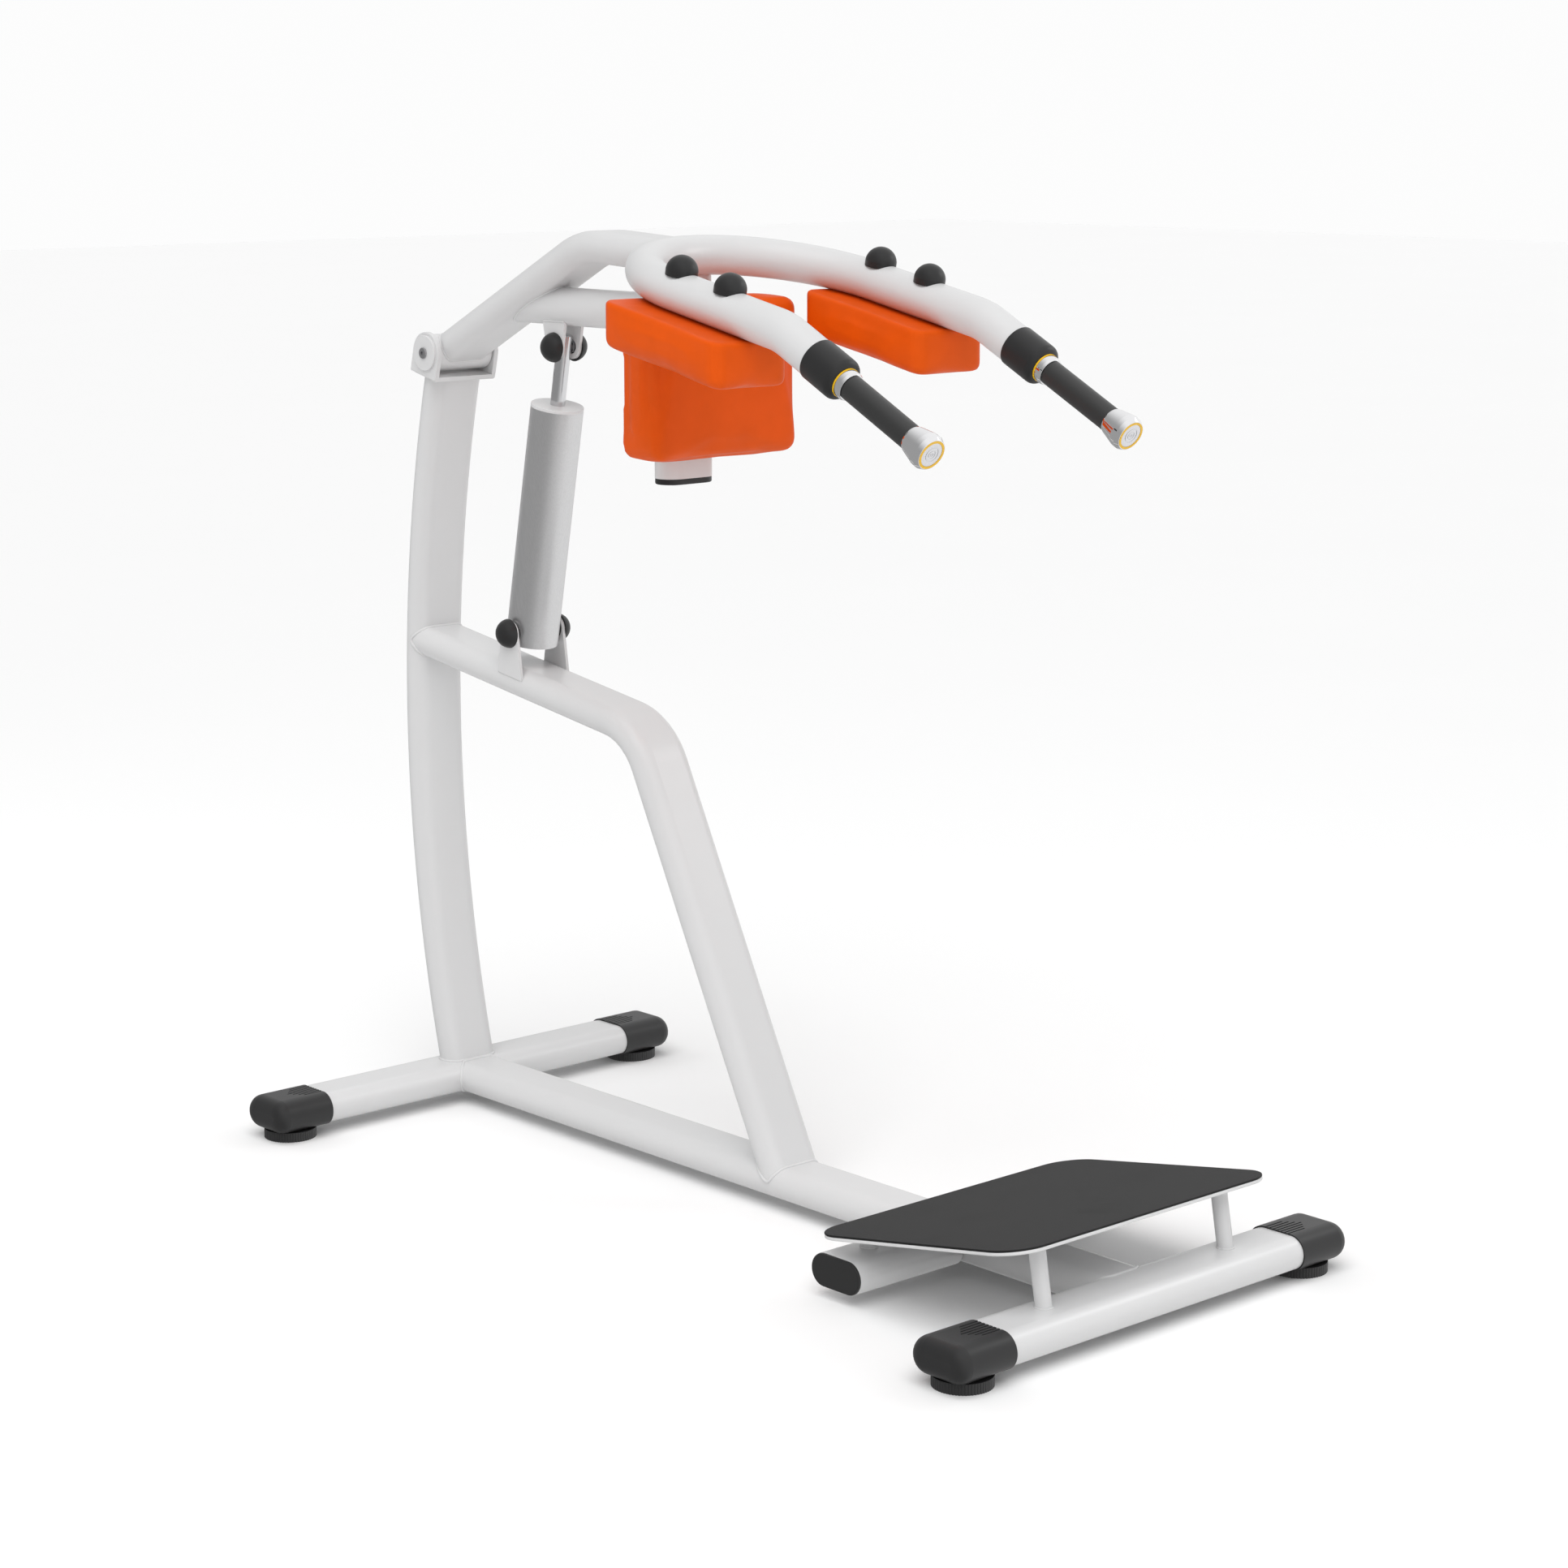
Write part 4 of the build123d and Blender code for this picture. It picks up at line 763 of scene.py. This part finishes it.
# ---------------------------------------------------------------- handles
def handle_parts(side):
    """Origin and direction of a handle's centre line, from the grip's own tight box."""
    box = Block("hand_grips", axes_of_slope(slope_of("hand_grips", side)), side)
    return box.place(box.middle), box.axes[1]


def span_along(node, side, origin, axis):
    """Where a node starts and ends along a handle, and its greatest radius."""
    offset = node_points(node, side) - origin
    along = offset @ axis
    across = np.linalg.norm(offset - along[:, None] * axis, axis=1)
    return along.min(), along.max(), across.max()


def add_handle_pieces(name, node, slot, outline, closed=True, sharp=30):
    """One object with a turned piece on each handle; outline gives corners from start, end and radius, and
    is closed into a ring unless it starts and ends on the axis."""
    steps = settings("squat_trim").turn_steps
    grids = []
    for side in (LEFT, RIGHT):
        origin, axis = handle_parts(side)
        corners = outline(*span_along(node, side, origin, axis))
        grids.append(turned_grid(origin, axis, rounded_outline(corners), steps))
    piece = add_grids(name, grids, wrap_rows=closed, sharp=sharp)
    dress(piece, "lever_arm", slot, node)


class SQUAT_OT_hand_grips(bpy.types.Operator):
    """Make the two rubber grips: sleeves with rounded ends"""

    bl_idname = "squat.hand_grips"
    bl_label = "Hand grips"

    def execute(self, context):
        wall, edge = 3.4 * MM, 1.4 * MM
        add_handle_pieces("grip_sleeves", "hand_grips", "grip_rubber", lambda start, end, radius: [
            (start, radius - wall, 0), (start, radius, edge),
            (end, radius, edge), (end, radius - wall, 0)])
        return {"FINISHED"}


class SQUAT_OT_ferrules(bpy.types.Operator):
    """Make the two black ferrules that close the yoke tube: straight sleeves with a domed front"""

    bl_idname = "squat.ferrules"
    bl_label = "Ferrules"

    def execute(self, context):
        wall, edge, dome, front = 1.5 * MM, 0.6 * MM, 11.0 * MM, 14 * MM
        add_handle_pieces("ferrule_sleeves", "handle_ferrules", "black_plastic", lambda start, end, radius: [
            (start, radius - wall, 0), (start, radius, edge), (end, radius, dome),
            (end, BAR_NECK, 0), (end - front, BAR_NECK, 0), (end - front, radius - wall, 0)])
        return {"FINISHED"}


class SQUAT_OT_collars(bpy.types.Operator):
    """Make the two chrome collars behind the grips: a straight band that narrows to the front"""

    bl_idname = "squat.collars"
    bl_label = "Chrome collars"

    def execute(self, context):
        taper, drop = 4 * MM, 1.6 * MM
        rear_edge, taper_edge, front_edge = 0.5 * MM, 1.5 * MM, 0.7 * MM
        add_handle_pieces("collar_bands", "handle_collars", "chrome_trim", lambda start, end, radius: [
            (start, BAR_NECK, 0), (start, radius, rear_edge), (end - taper, radius, taper_edge),
            (end, radius - drop, front_edge), (end, BAR_NECK, 0)])
        return {"FINISHED"}


class SQUAT_OT_end_caps(bpy.types.Operator):
    """Make the two chrome end caps: they flare towards the front and turn in to a flat seat"""

    bl_idname = "squat.end_caps"
    bl_label = "End caps"

    def execute(self, context):
        seat, lip, recess = 21.65 * MM, 1.2 * MM, 2.0 * MM
        rear, lift, lift_radius = 19.2 * MM, 3 * MM, 20.6 * MM
        flare, turn_in = 27 * MM, 7 * MM
        rear_edge, lift_edge, flare_edge, turn_edge, lip_edge = 0.4 * MM, 2 * MM, 9 * MM, 2.4 * MM, 0.8 * MM
        add_handle_pieces("end_cap_cups", "handle_end_caps", "chrome_trim", lambda start, end, radius: [
            (start, BAR_NECK, 0), (start, rear, rear_edge), (start + lift, lift_radius, lift_edge),
            (start + flare, radius, flare_edge), (end - turn_in, radius, turn_edge),
            (end, seat + lip, lip_edge), (end, seat, 0),
            (end - recess, seat, 0), (end - recess, BAR_NECK, 0)])
        return {"FINISHED"}


class SQUAT_OT_end_discs(bpy.types.Operator):
    """Make the turned discs in the end caps: flat faces with concentric grooves"""

    bl_idname = "squat.end_discs"
    bl_label = "End discs"

    def execute(self, context):
        def face(start, end, radius):
            depth, rim, edge = 0.45 * MM, 0.5 * MM, 0.12 * MM
            grooves = ((0.62, 0.56), (0.34, 0.29), (0.14, 0.09))  # outer and inner share of the radius
            corners = [(start, 0, 0), (start, radius, 0), (end, radius, rim)]
            for outer, inner in grooves:
                corners += [(end, radius * outer, edge), (end - depth, radius * outer, 0),
                            (end - depth, radius * inner, 0), (end, radius * inner, edge)]
            return corners + [(end, 0, 0)]

        add_handle_pieces("end_cap_discs", "handle_end_discs", "turned_aluminium", face, closed=False)
        return {"FINISHED"}


# ---------------------------------------------------------------- weld beads
def edge_points(node, spacing=0.0015):
    """Points on a node's edges, no farther than spacing from each other."""
    mesh = frame["nodes"][node].data
    start, end = mesh_points(mesh)[mesh_edges(mesh).T]
    steps = np.ceil(np.linalg.norm(end - start, axis=1) / spacing).astype(int) + 1
    return np.concatenate([np.linspace(one, other, count) for one, other, count in zip(start, end, steps)])


def touching_points(node, target, reach=0.6 * MM):
    """Points on a node's edges that lie on a target node's surface, within the gap left for the weld."""
    mesh = frame["nodes"][target].data
    tree = BVHTree.FromPolygons([v.co for v in mesh.vertices], [p.vertices for p in mesh.polygons])
    low, high = node_points(target).min(0) - reach, node_points(target).max(0) + reach
    points = np.unique(edge_points(node).round(5), axis=0)
    points = points[((points > low) & (points < high)).all(1)]
    return points[[tree.find_nearest(Vector(point), reach)[0] is not None for point in points]]


def clusters(points, apart=0.008):
    """Split points into groups that lie farther than apart from each other."""
    tree = KDTree(len(points))
    for index, point in enumerate(points):
        tree.insert(point, index)
    tree.balance()
    label = np.full(len(points), -1)
    for first in range(len(points)):
        waiting = [first] if label[first] < 0 else []
        while waiting:
            here = waiting.pop()
            if label[here] < 0:
                label[here] = first
                waiting += [index for _, index, _ in tree.find_range(points[here], apart)]
    return [points[label == number] for number in np.unique(label)]


def outer_loop(points, spacing=0.002, sectors=72):
    """Closed loop round a group of points: seen along the group's thinnest direction, the farthest point in
    each sector about the middle, joined up and divided into even steps."""
    middle = (points.max(0) + points.min(0)) / 2
    offset = points - middle
    across = np.linalg.svd(offset, full_matrices=False)[2]
    u, v = offset @ across[0], offset @ across[1]
    angle, distance = np.arctan2(v / np.ptp(v), u / np.ptp(u)), np.hypot(u, v)
    sector = ((angle + np.pi) / (2 * np.pi) * sectors).astype(int)
    farthest = [np.flatnonzero(sector == number)[np.argmax(distance[sector == number])]
                for number in np.unique(sector)]
    loop = points[farthest]
    closed = np.concatenate([loop, loop[:1]])
    travelled = np.concatenate([[0], np.cumsum(np.linalg.norm(np.diff(closed, axis=0), axis=1))])
    even = np.linspace(0, travelled[-1], int(travelled[-1] / spacing), endpoint=False)
    return np.stack([np.interp(even, travelled, closed[:, axis]) for axis in range(3)], axis=1)


def bead_grid(loop, radius, pitch, around=10, smoothing=2, ripple=0.06):
    """Grid of a weld bead: a small circle carried round a closed loop, swelling and shrinking a little
    at each ripple of the weld."""
    for _ in range(smoothing):
        loop = (np.roll(loop, -1, 0) + 2 * loop + np.roll(loop, 1, 0)) / 4
    tangent = np.roll(loop, -1, 0) - np.roll(loop, 1, 0)
    tangent /= np.linalg.norm(tangent, axis=1, keepdims=True)
    step = np.linalg.norm(np.roll(loop, -1, 0) - loop, axis=1)
    travelled = np.cumsum(step) - step
    outward = loop - loop.mean(0)
    outward -= (outward * tangent).sum(1, keepdims=True) * tangent
    outward /= np.maximum(np.linalg.norm(outward, axis=1, keepdims=True), 1e-9)
    binormal = np.cross(tangent, outward)
    swell = radius * (1 + ripple * np.sin(2 * np.pi * travelled / pitch))
    angle = np.linspace(0, 2 * np.pi, around, endpoint=False)
    ring = np.cos(angle)[None, :, None] * outward[:, None] + np.sin(angle)[None, :, None] * binormal[:, None]
    return loop[:, None] + swell[:, None, None] * ring


def add_beads(name, body, joints):
    """One object with the beads of several joints, each (node, target, radius)."""
    pitch = settings("squat_trim").bead_pitch
    grids = [bead_grid(outer_loop(group), radius, pitch)
             for node, target, radius in joints
             for group in clusters(touching_points(node, target))]
    dress(add_grids(name, grids, wrap_rows=True), body, "white_powder_coat")


class SQUAT_OT_weld_beads(bpy.types.Operator):
    """Make the weld beads where the tubes and plates of the base and of the lever arm meet"""

    bl_idname = "squat.weld_beads"
    bl_label = "Weld beads"

    def execute(self, context):
        trim = context.scene.squat_trim
        large, small = trim.bead_radius, trim.small_bead_radius
        add_beads("base_weld_beads", "base_frame", (
            ("main_beam", "rear_crossbar", large), ("main_beam", "front_crossbar", large),
            ("upright", "rear_crossbar", large), ("upright", "hinge_fork", small),
            ("brace_tube", "main_beam", large),
            ("brace_tube", "upright", large), ("platform_posts", "front_crossbar", small),
            ("platform_posts", "mid_crossbar", small), ("platform_posts", "platform_plate", small),
            ("lower_ears", "brace_tube", small)))
        add_beads("arm_weld_beads", "lever_arm", (
            ("arm_tube", "pivot_tube", small), ("arm_tube", "yoke_tube", large),
            ("link_tube", "arm_tube", small), ("link_tube", "back_pad_post", small),
            ("back_pad_post", "arm_tube", small), ("upper_ears", "link_tube", small)))
        return {"FINISHED"}


class SQUAT_OT_finishes(bpy.types.Operator):
    """Give every CAD node the material of its slot in the record"""

    bl_idname = "squat.finishes"
    bl_label = "Finishes"

    def execute(self, context):
        for part in frame["record"]["subparts"]:
            for place in frame["nodes"][part["node"]].material_slots:
                place.material = material_of(part["material_slot"])
        return {"FINISHED"}


# ---------------------------------------------------------------- studio
class SQUAT_OT_studio(bpy.types.Operator):
    """Make the pale floor, the soft lights, the white surround and the camera"""

    bl_idname = "squat.studio"
    bl_label = "Studio"

    def hang(self, light, place, aim, reflected=False):
        """Put a light at a place, turned towards the aim; only a reflected light shows in polished parts."""
        lamp = bpy.data.objects.new(light.name, light)
        lamp.location = place
        lamp.visible_glossy = reflected
        lamp.rotation_euler = (aim - Vector(place)).to_track_quat("-Z", "Y").to_euler()
        bpy.context.scene.collection.objects.link(lamp)

    def execute(self, context):
        scene = context.scene
        studio = scene.squat_studio
        scene.view_settings.view_transform = "Standard"
        half = studio.floor_size / 2
        u, v = np.meshgrid([-half, half], [-half, half], indexing="ij")
        corners = np.stack([u, v, np.zeros_like(u)], axis=-1)
        floor = add_object("studio_floor", corners, grid_faces(2, 2, wrap_columns=False))
        if floor.data.polygons[0].normal.z < 0:
            floor.data.flip_normals()
        floor.data.materials.append(floor_paint())
        floor.visible_glossy = False

        world = bpy.data.worlds.new("studio_surround")
        world.use_nodes = True
        tree = world.node_tree
        path = add_node(tree, "ShaderNodeLightPath")
        facing = add_node(tree, "ShaderNodeVectorMath",
                          {0: add_node(tree, "ShaderNodeTexCoord").outputs["Generated"],
                           1: Vector(LIGHT_SIDE)}, operation="DOT_PRODUCT")
        shaded = add_node(tree, "ShaderNodeMapRange",
                          {"Value": facing.outputs["Value"],
                           "From Min": LIGHT_FADE[0], "From Max": LIGHT_FADE[1],
                           "To Min": studio.reflected_dark, "To Max": studio.reflected_light},
                          interpolation_type="SMOOTHSTEP")
        lit = add_node(tree, "ShaderNodeMapRange",
                       {"Value": path.outputs["Is Glossy Ray"], "To Min": studio.surround,
                        "To Max": shaded.outputs[0]})
        strength = add_node(tree, "ShaderNodeMapRange",
                            {"Value": path.outputs["Is Camera Ray"], "To Min": lit.outputs[0],
                             "To Max": studio.backdrop})
        tree.nodes["Background"].inputs["Color"].default_value = (1, 1, 1, 1)
        tree.links.new(strength.outputs[0], tree.nodes["Background"].inputs["Strength"])
        scene.world = world

        aim = Vector((0, -studio.aim_forward, studio.aim_height))
        sun = bpy.data.lights.new("overhead_light", "SUN")
        sun.energy, sun.angle = studio.sunlight, studio.sun_width
        self.hang(sun, OVERHEAD_PLACE, aim)
        for name, place, size, power in SOFTBOXES:
            box = bpy.data.lights.new(name, "AREA")
            box.shape, box.size, box.energy = "SQUARE", size, power
            self.hang(box, place, aim, reflected=name == REFLECTED_LIGHT)

        lens = bpy.data.cameras.new("studio_camera")
        lens.sensor_width, lens.lens = SENSOR_WIDTH, studio.lens
        camera = bpy.data.objects.new("studio_camera", lens)
        level = cos(studio.elevation)
        back = Vector((sin(studio.azimuth) * level, -cos(studio.azimuth) * level, sin(studio.elevation)))
        camera.location = aim + back * studio.distance
        camera.rotation_euler = (-back).to_track_quat("-Z", "Y").to_euler()
        scene.collection.objects.link(camera)
        scene.camera = camera
        return {"FINISHED"}


# ---------------------------------------------------------------- panel and registration
STEPS = (
    SQUAT_OT_studio, SQUAT_OT_finishes, SQUAT_OT_shoulder_pads, SQUAT_OT_back_pad, SQUAT_OT_hand_grips,
    SQUAT_OT_ferrules, SQUAT_OT_collars, SQUAT_OT_end_caps, SQUAT_OT_end_discs, SQUAT_OT_weld_beads,
)
GROUPS = {
    "squat_colours": SquatColours, "squat_pads": SquatPads, "squat_trim": SquatTrim,
    "squat_studio": SquatStudio,
}


class SQUAT_PT_panel(bpy.types.Panel):
    """Sizes, colours and steps of the squat machine's finish"""

    bl_idname = "SQUAT_PT_panel"
    bl_label = "Squat Machine"
    bl_space_type = "VIEW_3D"
    bl_region_type = "UI"
    bl_category = "Squat Machine"

    def draw(self, context):
        for name, group in GROUPS.items():
            box = self.layout.box()
            for value in group.__annotations__:
                box.prop(getattr(context.scene, name), value)
        for step in STEPS:
            self.layout.operator(step.bl_idname)


def register():
    for kind in (*GROUPS.values(), *STEPS, SQUAT_PT_panel):
        bpy.utils.register_class(kind)
    for name, group in GROUPS.items():
        setattr(bpy.types.Scene, name, PointerProperty(type=group))


def unregister():
    for name in GROUPS:
        delattr(bpy.types.Scene, name)
    for kind in reversed((*GROUPS.values(), *STEPS, SQUAT_PT_panel)):
        bpy.utils.unregister_class(kind)


def main():
    register()
    for step in STEPS:
        family, name = step.bl_idname.split(".")
        getattr(getattr(bpy.ops, family), name)()


if __name__ == "__main__":
    main()
